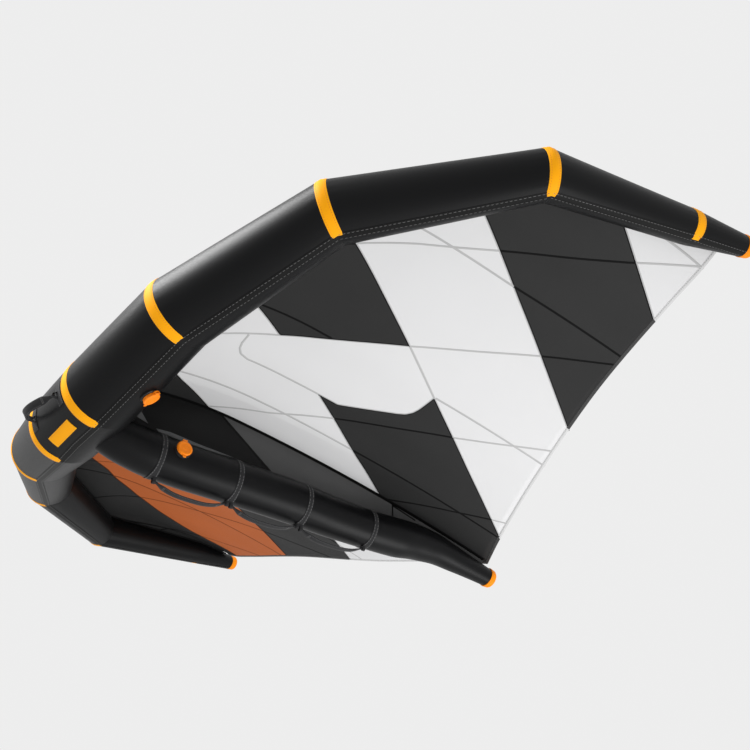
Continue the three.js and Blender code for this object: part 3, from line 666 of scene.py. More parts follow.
DACRON = cloth("dacron_black", (0.0035, 0.0036, 0.0040), 0.40, 1.6, spec=0.13)
SEAM_TAPE = cloth("seam_tape_black", (0.003, 0.003, 0.003), 0.5, 2.0, spec=0.12, wear=0.2)
THREAD = cloth("thread_grey", (0.11, 0.11, 0.11), 0.7, 0.8, sheen=0.2)
THREAD_ORANGE = cloth("thread_orange", (0.62, 0.2, 0.01), 0.7, 0.8, sheen=0.2)
BAND = cloth("band_orange", (0.98, 0.385, 0.001), 0.6, 1.6, spec=0.12, wear=0.1)
CAP_CLOTH = cloth("cap_orange", (0.98, 0.27, 0.001), 0.5, 1.6, spec=0.12, wear=0.1)
WHITE = panel_cloth("canopy_white", (0.66, 0.66, 0.665), 0.65, 0.2, tone=0.02)
DARK = panel_cloth("canopy_charcoal", (0.021, 0.021, 0.021), 0.6, 0.14)
RUST = panel_cloth("canopy_burnt_orange", (0.42, 0.105, 0.026), 0.65, 0.12, tone=0.06)
SEAM_WHITE = cloth("seam_light", (0.44, 0.44, 0.44), 0.65, 1.0, spec=0.1)
SEAM_DARK = cloth("seam_dark", (0.005, 0.005, 0.005), 0.6, 1.0, spec=0.05)
SEAM_RUST = cloth("seam_rust", (0.17, 0.045, 0.013), 0.6, 1.0, spec=0.05)
HEM_WHITE = cloth("hem_light", (0.55, 0.55, 0.55), 0.65, 1.4, sheen=0.15, wear=0.1)
HEM_DARK = cloth("hem_dark", (0.02, 0.02, 0.02), 0.6, 1.4, sheen=0.15, wear=0.1)
FIN = panel_cloth("fin_black", (0.009, 0.009, 0.009), 0.62, 0.12, period=1.4)
FIN_GREY = panel_cloth("fin_grey", (0.078, 0.078, 0.078), 0.62, 0.14, period=1.4)
# Grey of the lens and triangle on the fin: a painted highlight of the light on the strut's top.
PAINTED_HIGHLIGHT_GREY = cloth("painted_highlight_grey", (0.075, 0.077, 0.078), 0.6, 1.8, sheen=0.15, wear=0.2)
WEBBING = cloth("webbing_black", (0.016, 0.016, 0.017), 0.75, 2.6, sheen=0.05, spec=0.2, depth=0.6,
                wear=0.25)
VALVE_BLACK = moulded("valve_black", (0.010, 0.010, 0.011), 0.4, spec=0.3)
VALVE_ORANGE = moulded("valve_orange", (0.98, 0.235, 0.001), 0.38, spec=0.25)
VALVE_GREY = moulded("valve_grey", (0.2, 0.2, 0.21), 0.45)
BLADDER = film("bladder_film", (0.6, 0.63, 0.66))

# ------------------------------------------------------------------ leading-edge tube

PANEL_ROWS = 41
BARREL = 0.004  # swelling of an inflated panel, as a part of its radius
angles = np.arange(ROUND_SIDES) * 360.0 / ROUND_SIDES


def panel_name(i):
    if i == MIDDLE:
        return "le_panel_centre"
    return f"le_panel_left_{i - MIDDLE}" if i > MIDDLE else f"le_panel_right_{MIDDLE - i}"


def barrel(i, f):
    """How far the inflated panel swells between its seams."""
    return BARREL * radii[i] * math.sin(math.pi * f)


def pucker(height, folds, phase, degrees, near, start, fade):
    """Fine puckers beside a seam; near is the distance from it, start and fade are lengths."""
    wobble = 0.5 + 0.5 * math.sin(math.radians(degrees) * folds + phase)
    return height * wobble * math.exp(-near / fade) * (1 - math.exp(-near / start))


def panel_offset(i, f, degrees):
    """The barrel, and puckers where the panel is sewn to its neighbours."""
    near = min(f, 1 - f) * panel_length(i)
    phase = 2.1 * i + (0 if f < 0.5 else 1.7)
    return barrel(i, f) + pucker(0.9 * MM, 23, phase, degrees, near, 0.006, 0.035)


def tube(name, rows, radius, along, node_name):
    """An open tube of cloth from rings of points."""
    us = np.append(angles, 360) / 360 * 2 * math.pi * radius
    faces, uvs = grid_faces(len(rows), ROUND_SIDES, True, us, along)
    obj = add_object(name, rows, faces, uvs, [DACRON])
    place(tidy_normals(obj), [node_name])


for i in range(LAST):
    fs = 0.5 - 0.5 * np.cos(np.linspace(0, math.pi, PANEL_ROWS))
    rows = np.array([[panel_point(i, f, a, panel_offset(i, f, a)) for a in angles] for f in fs])
    name = panel_name(i)
    tube(f"{name}_cloth", rows, radii[i : i + 2].mean(), fs * panel_length(i), name)


def panel_stitches(parts, spots, lift, stitch):
    """Stitches along (panel, part, angle) spots, at a height over the tube's cloth."""
    line = [panel_point(*spot, lift) for spot in spots]
    dashes(parts, line, [panel_normal(*spot) for spot in spots], stitch)


# Orange bands over the joints, with a stitched line near each edge.
BAND_WIDTH, BAND_THICK, BAND_LIFT = 34 * MM, 0.9 * MM, 0.5 * MM
BAND_FROM = 88
BAND_TO = [268, 269, 273, 281, 288]
BAND_ACROSS = (-0.5, -0.46, -0.25, 0, 0.25, 0.46, 0.5)
BAND_RISE = (0.45, 1, 1.25, 1.3, 1.25, 1, 0.45)


def joint_spot(i, w):
    """The panel and the part along it at distance w from joint i: negative is before it."""
    panel = i - 1 if w < 0 else i
    f = w / panel_length(panel)
    return panel, 1 + f if w < 0 else f


for i in range(1, LAST):
    side = "left" if i > MIDDLE else "right"
    number = i - MIDDLE if i > MIDDLE else MIDDLE + 1 - i
    parts = Parts()
    sweep = np.linspace(BAND_FROM, BAND_TO[number - 1], 73)
    spots = [joint_spot(i, w * BAND_WIDTH) for w in BAND_ACROSS]
    lifts = [BAND_LIFT + BAND_THICK * e for e in BAND_RISE]
    outer = [[panel_point(*spot, a, e) for a in sweep] for spot, e in zip(spots, lifts)]
    inner = [[panel_point(*spot, a, 0.1 * MM) for a in sweep] for spot in spots]
    skin(parts, outer, inner)
    for w in (-0.36, 0.36):
        line = [(*joint_spot(i, w * BAND_WIDTH), a) for a in sweep]
        panel_stitches(parts, line, BAND_LIFT + BAND_THICK * 1.15, (5, 2.5, 1.1, 0.4))
    name = f"le_band_{side}_{number}"
    parts.build(f"{name}_cloth", [BAND, THREAD_ORANGE], [name], "band")

# Seam tape low on the back of the tube, with two stitched lines, end to end.
TAPE_WIDTH, TAPE_THICK = 30 * MM, 0.8 * MM
TAPE_ACROSS = (-1, -0.93, -0.4, 0, 0.4, 0.93, 1)
TAPE_RISE = (0.5, 1.0, 1.2, 1.25, 1.2, 1.0, 0.5)
TAPE_MIDDLE, TAPE_TIP = 268, 287  # degrees round the tube


def tape_point(i, f, t, lift):
    """A point on the tape, t half-widths off its middle. The tape runs almost at the bottom in the
    middle of the wing and further aft at the tips."""
    s = abs((i + f) - (MIDDLE + 0.5)) / (MIDDLE + 0.5)
    half = math.degrees(TAPE_WIDTH / 2 / panel_radius(i, f))
    degrees = TAPE_MIDDLE + (TAPE_TIP - TAPE_MIDDLE) * s
    return panel_point(i, f, degrees + t * half, lift + barrel(i, f))


for i in range(LAST):
    parts = Parts()
    fs = np.linspace(0, 1, 25)
    lifts = [0.5 * MM + TAPE_THICK * e for e in TAPE_RISE]
    outer = [[tape_point(i, f, t, e) for t, e in zip(TAPE_ACROSS, lifts)] for f in fs]
    inner = [[tape_point(i, f, t, 0) for t in TAPE_ACROSS] for f in fs]
    skin(parts, outer, inner)
    for t in (-0.62, 0.62):
        line = [tape_point(i, f, t, 1.5 * MM) for f in fs]
        normals = [unit(tape_point(i, f, t, 0.05) - tape_point(i, f, t, 0)) for f in fs]
        dashes(parts, line, normals, (8, 5, 1.5, 0.4))
    parts.build(f"le_seam_tape_{i + 1}", [SEAM_TAPE, THREAD])


def panel_patch(parts, fs, sweep, top):
    """A patch sewn on the centre panel, top mm thick over the cloth."""
    outer = [[panel_point(MIDDLE, f, a, top * MM) for a in sweep] for f in fs]
    inner = [[panel_point(MIDDLE, f, a, 0.2 * MM) for a in sweep] for f in fs]
    skin(parts, outer, inner)


# Plain sewn patch low on the centre panel.
PATCH_X = (-58, 73)
PATCH_ANGLES = (233, 251)
parts = Parts()
length = panel_length(MIDDLE)
fs = 0.5 + np.linspace(*PATCH_X, 13) * MM / length
sweep = np.linspace(*PATCH_ANGLES, 17)
panel_patch(parts, fs, sweep, 1.9)
inset_f, inset_a = 4 * MM / length, 2.0
f_ends, a_ends = (fs[0] + inset_f, fs[-1] - inset_f), (sweep[0] + inset_a, sweep[-1] - inset_a)
corners = [(f_ends[p], a_ends[q]) for p, q in ((0, 0), (1, 0), (1, 1), (0, 1))]
for (f0, a0), (f1, a1) in zip(corners, corners[1:] + corners[:1]):
    spots = [(MIDDLE, f0 + (f1 - f0) * t, a0 + (a1 - a0) * t) for t in np.linspace(0, 1, 9)]
    panel_stitches(parts, spots, 2.0 * MM, (3, 1.5, 0.8, 0.3))
parts.build("le_centre_patch_cloth", [BAND, THREAD_ORANGE], ["le_centre_patch"], "band")


def seat(point, normal, along):
    """A frame with +Z along normal, +X as close to along as it can be."""
    y = unit(np.cross(normal, along))
    m = np.eye(4)
    m[:3, 0], m[:3, 1], m[:3, 2], m[:3, 3] = unit(np.cross(y, normal)), y, unit(normal), point
    return m


def end_cap(node_name, name, centre, direction, end_r, flare, sleeve, bulge):
    """Sewn cap over a tube's end: sleeve, rounded shoulder and low dome."""
    parts = Parts()
    sleeve_r = end_r + flare
    profile = [(sleeve_r + 0.2 * MM, -sleeve), (sleeve_r + 1.6 * MM, -sleeve + 0.6 * MM)]
    for t in np.linspace(0.1, 1, 6):
        profile.append((sleeve_r + (end_r - sleeve_r) * t + 1.9 * MM, -sleeve * (1 - t)))
    for a in np.radians(np.linspace(8, 90, 14)):
        profile.append(((end_r + 1.9 * MM) * max(math.cos(a), 0.02), bulge * math.sin(a)))
    m = seat(centre, direction, np.array([0.3, 0.2, 1.0]))
    lathe(parts, profile, m, sides=72)
    turns = np.linspace(0, 2 * math.pi, 61)
    for h in (-sleeve + 4 * MM, -sleeve + 8 * MM):
        r = sleeve_r + (end_r - sleeve_r) * (sleeve + h) / sleeve + 2.1 * MM
        line = [(m @ np.array([r * math.cos(a), r * math.sin(a), h, 1]))[:3] for a in turns]
        normals = [m[:3, :3] @ np.array([math.cos(a), math.sin(a), 0]) for a in turns]
        dashes(parts, line, normals, (3.5, 1.8, 0.9, 0.3))
    parts.build(name, [CAP_CLOTH, THREAD_ORANGE], [node_name], "cap")


TIP_SLEEVE = 26 * MM
for side, end, near in (("right", 0, 1), ("left", LAST, LAST - 1)):
    direction = unit(centres[end] - centres[near])
    slope = (radii[near] - radii[end]) / float(np.linalg.norm(centres[end] - centres[near]))
    end_cap(f"tip_cap_{side}", f"tip_cap_{side}_cloth", centres[end] + direction * 1.2 * MM, direction,
            radii[end], slope * TIP_SLEEVE, TIP_SLEEVE, 15 * MM)

# ------------------------------------------------------------------ strut

ring_at = [y * MM for y in RINGS_Y]
STRUT_STEP = 12 * MM
STRUT_MEAN_R = 75 * MM


def strut_offset(y, degrees):
    """Slight swelling between the rings and puckers beside them."""
    near = min(abs(y - r) for r in ring_at)
    swell = 1.2 * MM * (1 - math.exp(-near / 0.05))
    return swell + pucker(0.7 * MM, 19, 7.0 * y, degrees, near, 0.008, 0.03)


def strut_tube(name, node_name, y0, y1):
    ys = np.linspace(y0, y1, int((y1 - y0) / STRUT_STEP) + 2)
    rows = np.array([[strut_point(y, a, strut_offset(y, a)) for a in angles] for y in ys])
    tube(name, rows, STRUT_MEAN_R, ys, node_name)


strut_tube("strut_cloth_front", "strut_casing", strut[0, 0], ring_at[3])
strut_tube("strut_cloth_tail", "strut_tail_casing", ring_at[3], strut[-1, 0])

STRUT_SLEEVE = 20 * MM
tail, before = strut[-1], strut[-2]
tail_dir = unit(np.array([0, tail[0] - before[0], tail[1] - before[1]]))
tail_slope = (before[2] - tail[2]) / (tail[0] - before[0])
end_cap("strut_end_cap", "strut_end_cap_cloth", np.array([0, tail[0] + 4 * MM, tail[1] - 0.9 * MM]),
        tail_dir, tail[2] + 1.0 * MM, 0.8 * MM + tail_slope * STRUT_SLEEVE, STRUT_SLEEVE, 17 * MM)

# Rings: webbing round the strut, wider at the bottom, with sewn loops for the handles' ends.
RING_W, RING_W_LOW, RING_T = 20 * MM, 28 * MM, 1.6 * MM
LUG_DROP, LUG_LEN, PIN_R = 12 * MM, 12 * MM, 4 * MM
LOOP_R = 6.7 * MM
LOOP_OUT, HANDLE_GAP = 14 * MM, 17 * MM  # from a ring's middle to its loop's end and the handle's
ring_bottoms = [strut_at(y)[0] - strut_at(y)[1] for y in ring_at]
hinge_z = [min(pair) - LUG_DROP for pair in zip(ring_bottoms, ring_bottoms[1:])]


def ring_width(degrees):
    low = abs((degrees - 270 + 180) % 360 - 180)
    return RING_W + (RING_W_LOW - RING_W) * smooth_step(np.clip(1 - low / 42, 0, 1))


def round_strut(degrees):
    a = math.radians(degrees)
    return np.array([math.cos(a), 0, math.sin(a)])


def pin_loop(parts, hinge, along, across, up, top, foot):
    """A webbing loop that hangs from height top over a handle's hinge line, round its pin."""
    path = [(-LOOP_R - foot, top), (-LOOP_R - 1.2 * MM, top - 5 * MM), (-LOOP_R, 2 * MM)]
    arc = [(-LOOP_R * math.cos(a), -LOOP_R * math.sin(a)) for a in np.linspace(0, math.pi, 13)]
    path = path + arc + [(-a, b) for a, b in path[::-1]]
    pts = resample(np.array([hinge + across * a + up * b for a, b in path]), 1.6 * MM)
    side = np.tile(along, (len(pts), 1))
    strap(parts, pts, side, np.cross(side, tangents(pts)), 11.5 * MM, 1.8 * MM)


X, Y, Z = np.eye(3)
ring_sweep = np.arange(0, 360, 4.0)
stitch_sweep = np.arange(0, 361, 3.0)
for k, y in enumerate(ring_at):
    parts = Parts()
    pts = [strut_point(y, a, 0.6 * MM + RING_T / 2) for a in ring_sweep]
    normals = [round_strut(a) for a in ring_sweep]
    widths = [ring_width(a) for a in ring_sweep]
    strap(parts, pts, np.tile(Y, (len(pts), 1)), normals, widths, RING_T, closed=True)
    for e in (-1, 1):
        line = [strut_point(y, a, 0.7 * MM + RING_T) + Y * e * (ring_width(a) / 2 - 3.2 * MM)
                for a in stitch_sweep]
        dashes(parts, line, [round_strut(a) for a in stitch_sweep], (9, 2.2, 1.8, 0.5))
    z, r = strut_at(y)
    for handle, e in ((k - 1, -1), (k, 1)):
        if 0 <= handle <= 2:
            hinge = np.array([0, y + e * (LOOP_OUT - LUG_LEN / 2), hinge_z[handle]])
            pin_loop(parts, hinge, Y, X, Z, z - r + 2 * MM - hinge[2], 4 * MM)
    name = f"strut_ring_{k + 1}"
    parts.build(f"{name}_webbing", [WEBBING, THREAD], [name], "webbing")

# ------------------------------------------------------------------ handles

HANDLE_WIDTH, HANDLE_THICK = 28 * MM, 4.2 * MM
ROLL_WIDTH, ROLL_THICK = 9 * MM, 6.5 * MM  # where the webbing is rolled up at the ends
TACK_AT = (30 * MM, 36 * MM)


def handle_spine(length, reach, fullness):
    """(along, down) points of a hanging loop whose ends lie on the hinge line."""
    x = -np.cos(np.linspace(0, math.pi, 121))
    return np.stack([x * length / 2, -reach * (1 - np.abs(x) ** fullness)], 1)


def soft_handle(name, origin, along, down, length, reach, fullness):
    """A webbing loop hung between two sewn lugs: rolled ends, bar tacks and edge stitching."""
    spine = resample(handle_spine(length, reach, fullness), 4 * MM)
    pos = lengths(spine)
    total = pos[-1]
    edge = np.minimum(pos, total - pos)
    flat = smooth_step(np.clip((edge - 4 * MM) / (30 * MM), 0, 1))
    widths = ROLL_WIDTH + (HANDLE_WIDTH - ROLL_WIDTH) * flat
    thicks = ROLL_THICK + (HANDLE_THICK - ROLL_THICK) * np.clip(edge / (12 * MM), 0, 1)
    across = unit(np.cross(along, down))
    pts = np.array([origin + along * a - down * b for a, b in spine])
    normals = np.array([along * -b - down * a for a, b in tangents(spine)])
    parts = Parts()
    strap(parts, pts, np.tile(across, (len(pts), 1)), normals, widths, thicks)

    def on_face(k, face, part):
        """A point on the webbing's face, part of the way from the middle to the stitched edge."""
        reach_out = across * part * (widths[k] / 2 - 3 * MM)
        return pts[k] + reach_out + normals[k] * face * (thicks[k] / 2 + 0.1 * MM)

    keep = [k for k in range(len(pts)) if edge[k] > TACK_AT[1]]
    for e in (-1, 1):
        for face in (-1, 1):
            line = [on_face(k, face, e) for k in keep]
            dashes(parts, line, [normals[k] * face for k in keep], (4, 2, 1.0, 0.35))
    for at in (*TACK_AT, *(total - at for at in TACK_AT[::-1])):
        k = int(np.argmin(abs(pos - at)))
        for face in (-1, 1):
            line = [on_face(k, face, q) for q in np.linspace(-1, 1, 5)]
            dashes(parts, line, [normals[k] * face] * 5, (2.4, 0.6, 1.6, 0.4))
    for sign in (-1, 1):
        a = origin + along * sign * (length / 2 - 7 * MM)
        b = origin + along * sign * (length / 2 + LUG_LEN - 0.5 * MM)
        d = np.array([0.4, 0.85, 1, 1, 1, 1, 1, 0.8]) * 2 * PIN_R
        straight_strap(parts, np.linspace(a, b, 8), across, down, d, d, ROUND_SECTION)
    parts.build(f"{name}_webbing", [WEBBING, THREAD], [name], "webbing", f"{name}_body")


for k in range(3):
    y0, y1 = ring_at[k] + HANDLE_GAP, ring_at[k + 1] - HANDLE_GAP
    middle = np.array([0, (y0 + y1) / 2, hinge_z[k]])
    soft_handle(f"strut_handle_{k + 1}", middle, Y, -Z, y1 - y0, 28 * MM, 2.8)

FRONT_HALF, FRONT_ANGLE, FRONT_REACH, FRONT_DROOP = 98 * MM, 196, 56 * MM, 18
TAB_HALF_ANGLE = 17


def nose_direction(degrees):
    a = math.radians(degrees)
    return np.array([0, math.cos(a), math.sin(a)])


nose_centre = np.array([0, joints[0][1], joints[0][2]])
nose_normal = nose_direction(FRONT_ANGLE)
front_hinge = nose_centre + nose_normal * (joints[0][3] + LUG_DROP)
soft_handle("front_handle", front_hinge, X, nose_direction(FRONT_ANGLE + FRONT_DROOP),
            2 * (FRONT_HALF - LUG_LEN - 3 * MM), FRONT_REACH, 2.3)

for side, sign in (("left", 1), ("right", -1)):
    parts = Parts()
    xs = np.linspace(FRONT_HALF - LUG_LEN - 10 * MM, FRONT_HALF + 8 * MM, 7)
    fs = sorted(0.5 + sign * x / panel_length(MIDDLE) for x in xs)
    sweep = np.linspace(FRONT_ANGLE - TAB_HALF_ANGLE, FRONT_ANGLE + TAB_HALF_ANGLE, 17)
    panel_patch(parts, fs, sweep, 2.2)
    for f in (fs[1], fs[-2]):
        panel_stitches(parts, [(MIDDLE, f, a) for a in sweep], 2.3 * MM, (4, 2, 1.1, 0.4))
    hinge = front_hinge + X * sign * (FRONT_HALF - LUG_LEN / 2)
    pin_loop(parts, hinge, X, np.cross(X, nose_normal), -nose_normal, LUG_DROP - 1 * MM, 5 * MM)
    name = f"front_handle_tab_{side}"
    parts.build(f"{name}_webbing", [WEBBING, THREAD], [name], "webbing")

# ------------------------------------------------------------------ canopy

NOSE_BACK, REAR_FROM, FRONT_2_OUT = 470, 717, 302  # mm, ends of the middle's dark panels


def outboard(line, x, y):
    """Whether (x, y) lies on the tip side of a border that runs front to back."""
    line = sorted(line, key=lambda p: p[1])
    k = int(np.clip(np.searchsorted([p[1] for p in line], y) - 1, 0, len(line) - 2))
    (x0, y0), (x1, y1) = line[k], line[k + 1]
    if y1 == y0:
        return x > x0
    return x > x0 + (x1 - x0) * (y - y0) / (y1 - y0)


def panel_colour(x, y):
    """0 white, 1 charcoal, 2 burnt orange; x and y in mm in plan, left half positive."""
    left, x = x > 0, abs(x)
    if not outboard(SEAM_NOSE, x, y) and y < NOSE_BACK:
        return 1
    behind_p = outboard(SEAM_P, x, y)
    if left:
        if outboard(SEAM_R, x, y):
            return 0
        if outboard(SEAM_Q, x, y):
            return 1
        if outboard(SEAM_M, x, y):
            return 0
        if outboard(SEAM_D, x, y) and outboard(SEAM_S, x, y):
            return 1
        front_x, front_y = zip(*FRONT_2[1:])
        if behind_p and y > REAR_FROM and (x < FRONT_2_OUT or y > np.interp(x, front_x, front_y)):
            return 1
        return 0
    if outboard(SEAM_A_RIGHT, x, y):
        return 1
    if outboard(SEAM_D, x, y):
        return 2
    if outboard(SEAM_H_RIGHT, x, y):
        return 1
    return 1 if behind_p and y > REAR_FROM and not outboard(SEAM_M, x, y) else 0


LEFT_BORDERS = [SEAM_NOSE, SEAM_R, SEAM_Q, SEAM_M, SEAM_D, SEAM_S, SEAM_P, FRONT_2]
RIGHT_BORDERS = [SEAM_NOSE, SEAM_A_RIGHT, SEAM_D, SEAM_H_RIGHT, SEAM_P, SEAM_M]
CANOPY_THICK = 0.5 * MM
CHORD_ROWS, SPAN_ROWS = 45, 133
TRIM = 3 * MM
CUT_REACH = 30  # mm past a border's ends within which the sheet is cut


def cut_sheet(bm, sign, start, end):
    """Cuts the sheet's faces along a border from start to end, in mm in plan."""
    (x0, y0), (x1, y1) = start, end
    along = Vector((sign * (x1 - x0), y1 - y0, 0)).normalized()
    near = []
    for f in bm.faces:
        x, y = (v / MM for v in f.calc_center_median()[:2])
        if (sign * x > 0 and min(y0, y1) - CUT_REACH < y < max(y0, y1) + CUT_REACH
                and min(x0, x1) - CUT_REACH < abs(x) < max(x0, x1) + CUT_REACH):
            near.append(f)
    geom = list({v for f in near for v in f.verts}) + list({e for f in near for e in f.edges}) + near
    bmesh.ops.bisect_plane(bm, geom=geom, plane_co=Vector((sign * x0 * MM, y0 * MM, 0)),
                           plane_no=Vector((along.y, -along.x, 0)), dist=1e-6)


half = []
for s in np.linspace(0, STATIONS, SPAN_ROWS):
    f, b = edges_at(s)
    half.append(canopy_rows(s, np.linspace(0, 1, CHORD_ROWS) * (1 - TRIM / np.linalg.norm(b - f))))
half = np.array(half)
full = np.concatenate([half[:0:-1] * [-1, 1, 1], half])
rows, cols = full.shape[:2]
bm = bmesh.new()
verts = [bm.verts.new(p) for p in full.reshape(-1, 3).tolist()]
for r in range(rows - 1):
    for c in range(cols - 1):
        k = r * cols + c
        bm.faces.new([verts[k], verts[k + 1], verts[k + cols + 1], verts[k + cols]])
for sign, borders in ((1, LEFT_BORDERS), (-1, RIGHT_BORDERS)):
    for line in borders:
        for start, end in zip(line, line[1:]):
            cut_sheet(bm, sign, start, end)
layer = bm.loops.layers.uv.new("UVMap")
for f in bm.faces:
    c = f.calc_center_median()
    f.material_index = panel_colour(c.x / MM, c.y / MM)
    f.smooth = True
    for loop in f.loops:
        loop[layer].uv = (loop.vert.co.x, loop.vert.co.y)
bmesh.ops.recalc_face_normals(bm, faces=bm.faces)
if sum(f.normal.z for f in bm.faces) < 0:
    bmesh.ops.reverse_faces(bm, faces=bm.faces)
flat_area = sum(f.calc_area() for f in bm.faces)
bmesh.ops.translate(bm, vec=Vector((-GRIP).tolist()), verts=bm.verts)
mesh = bpy.data.meshes.new("canopy_sheet")
bm.to_mesh(mesh)
bm.free()
for m in (WHITE, DARK, RUST):
    mesh.materials.append(m)
canopy = bpy.data.objects.new("canopy_sheet", mesh)
collection.objects.link(canopy)
solid = canopy.modifiers.new("thickness", "SOLIDIFY")
solid.thickness = CANOPY_THICK
solid.offset = 0
place(canopy, ["canopy_left", "canopy_right"])

# Seams: narrow tapes sewn along the borders and ribs, showing on both faces of the sheet.
SEAM_WIDTH, SEAM_THICK = 8 * MM, 1.5 * MM
SEAMS = {
    "seam_diagonal_a": SEAM_A, "seam_diagonal_d": SEAM_D, "seam_diagonal_h": SEAM_H,
    "seam_diagonal_l": SEAM_L, "seam_border_m": SEAM_M, "seam_border_q": SEAM_Q,
    "seam_border_r": SEAM_R, "seam_border_p": SEAM_P, "seam_border_s": SEAM_S,
    "seam_border_nose": SEAM_NOSE, "seam_round": SEAM_ROUND, "seam_border_front": FRONT_2,
}
SEAMS.update({f"seam_rib_{k + 1}": line for k, line in enumerate(CHORD_SEAMS)})
SEAMS_RIGHT = dict(SEAMS, seam_diagonal_a=SEAM_A_RIGHT, seam_diagonal_h=SEAM_H_RIGHT)
del SEAMS_RIGHT["seam_border_front"]
for side, sign, seams in (("left", 1, SEAMS), ("right", -1, SEAMS_RIGHT)):
    for name, line in seams.items():
        plan = resample(np.array(line, float) * MM, 8 * MM)
        pts = on_canopy(plan[:, 0] * sign, plan[:, 1])
        pts = pts[np.abs(pts[:, 1] - plan[:, 1]) < 1 * MM]
        normals = canopy_normals(pts)
        parts = Parts()
        strap(parts, pts, np.cross(normals, tangents(pts)), normals, SEAM_WIDTH, SEAM_THICK)
        parts.mats = [panel_colour(*(c[:2] / MM)) for c in parts.face_centres()]
        parts.build(f"{name}_{side}", [SEAM_WHITE, SEAM_DARK, SEAM_RUST])

# Trailing-edge hem: folded tape over the sheet's edge.
HEM_WIDTH, HEM_THICK = 15 * MM, 2.2 * MM
for side, sign in (("left", 1), ("right", -1)):
    pts, chordwise = [], []
    for s in np.linspace(0, STATIONS, 181):
        f, b = edges_at(s)
        v = 1 - HEM_WIDTH / 2 / np.linalg.norm(b - f)
        p = canopy_rows(s, np.array([v, v + 0.004]))
        pts.append(p[0])
        chordwise.append(unit(p[1] - p[0]))
    pts, chordwise = np.array(pts) * [sign, 1, 1], np.array(chordwise) * [sign, 1, 1]
    normals = np.cross(chordwise, np.gradient(pts, axis=0))
    normals /= np.linalg.norm(normals, axis=1)[:, None]
    parts = Parts()
    strap(parts, pts, chordwise, normals, HEM_WIDTH, HEM_THICK)
    parts.mats = [min(panel_colour(*(c[:2] / MM)), 1) for c in parts.face_centres()]
    for face in (-1, 1):
        lift = normals * face * (HEM_THICK / 2 + 0.05 * MM)
        line = pts - chordwise * (HEM_WIDTH / 2 - 4 * MM) + lift
        dashes(parts, line, normals * face, (5, 3, 1.0, 0.3), mat=2)
    name = f"trailing_hem_{side}"
    parts.build(f"{name}_cloth", [HEM_WHITE, HEM_DARK, THREAD], [name], "hem")

# Joining tape along the front edge, where the sheet is sewn to the tube.
TAPE_OVERRUN = 0.1  # past the end of the canopy, as a part of the last panel
JOIN_ACROSS = (16, 14, 6, -1, -4, -7, -8)
JOIN_RISE = (0.7, 1.6, 2.6, 3.0, 3.2, 3.2, 2.4)
for i in range(LAST):
    fs = np.linspace(0, 1, 17)
    covered = TIP_ATTACH + TAPE_OVERRUN
    if i == 0:
        fs = fs * covered + (1 - covered)
    if i == LAST - 1:
        fs = fs * covered
    parts = Parts()
    outer, inner = [], []
    for f in fs:
        turns = [ATTACH_ANGLE + math.degrees(d * MM / panel_radius(i, f)) for d in JOIN_ACROSS]
        outer.append([panel_point(i, f, a, (e + 0.5) * MM) for a, e in zip(turns, JOIN_RISE)])
        inner.append([panel_point(i, f, a, 0.2 * MM) for a in turns])
    skin(parts, outer, inner)
    parts.build(f"canopy_joining_tape_{i + 1}", [SEAM_TAPE])

# ------------------------------------------------------------------ fin

FIN_T = 2.0 * MM
FIN_SPLIT_TOP, FIN_SPLIT_LOW, FIN_END = 0.496, 0.735, 1.760
# Lens and triangle, (y, z) in metres: grey shapes on the fin's faces by the strut's top, a painted
# highlight of the light on the strut where it meets the fin and the leading edge.
HIGHLIGHT_LENS = [(0.255, 0.109), (0.306, 0.113), (0.355, 0.110), (0.404, 0.105), (0.48, 0.101), (0.56, 0.097),
        (0.51, 0.0935), (0.413, 0.091), (0.338, 0.095), (0.264, 0.100)]
HIGHLIGHT_TRIANGLE = [(0.178, 0.172), (0.158, 0.135), (0.223, 0.117)]
REAR_SEAM_Y = 1.285
SHORT_SEAM = [(REAR_SEAM_Y, 0.122), (1.401, 0.090)]
FIN_TOP_TAPE_X, FIN_TOP_TAPE_Y, FIN_BASE_Y = 8.5 * MM, 0.145, 0.14


def fin_top(y):
    return float(on_canopy(0.0, y)[0, 2]) - 0.4 * MM


def fin_low(y):
    z, r = strut_at(y)
    return z + r - 3 * MM


def fin_plate(parts, outline, x0, x1, mat=0):
    """A flat cloth panel in the middle plane between x0 and x1; outline is (y, z) points."""
    n = len(outline)
    verts = [(x, y, z) for x in (x0, x1) for y, z in outline]
    faces = [tuple(range(n)), tuple(range(n, 2 * n))[::-1]]
    uvs = list(outline) + list(outline)[::-1]
    for k in range(n):
        j = (k + 1) % n
        faces.append((k, k + n, j + n, j))
        uvs += [outline[k], outline[k], outline[j], outline[j]]
    parts.add(verts, faces, uvs, mat)


def fin_curve(edge, y0, y1, count):
    return [(y, edge(y)) for y in np.linspace(y0, y1, count)]


nose_arc = []
for a in np.radians((70, 60, 50, 40, 30, 20, 10)):
    r = joints[0][3] - 2 * MM
    nose_arc.append((joints[0][1] + r * math.cos(a), joints[0][2] + r * math.sin(a)))
front_low = fin_curve(fin_low, nose_arc[-1][0] + 6 * MM, FIN_SPLIT_LOW, 30)
front_top = fin_curve(fin_top, nose_arc[0][0] + 14 * MM, FIN_SPLIT_TOP, 22)[::-1]
rear_low = fin_curve(fin_low, FIN_SPLIT_LOW, FIN_END, 50)
rear_top = fin_curve(fin_top, FIN_SPLIT_TOP, FIN_END, 60)[::-1]
parts = Parts()
fin_plate(parts, nose_arc + front_low + front_top, -FIN_T / 2, FIN_T / 2)
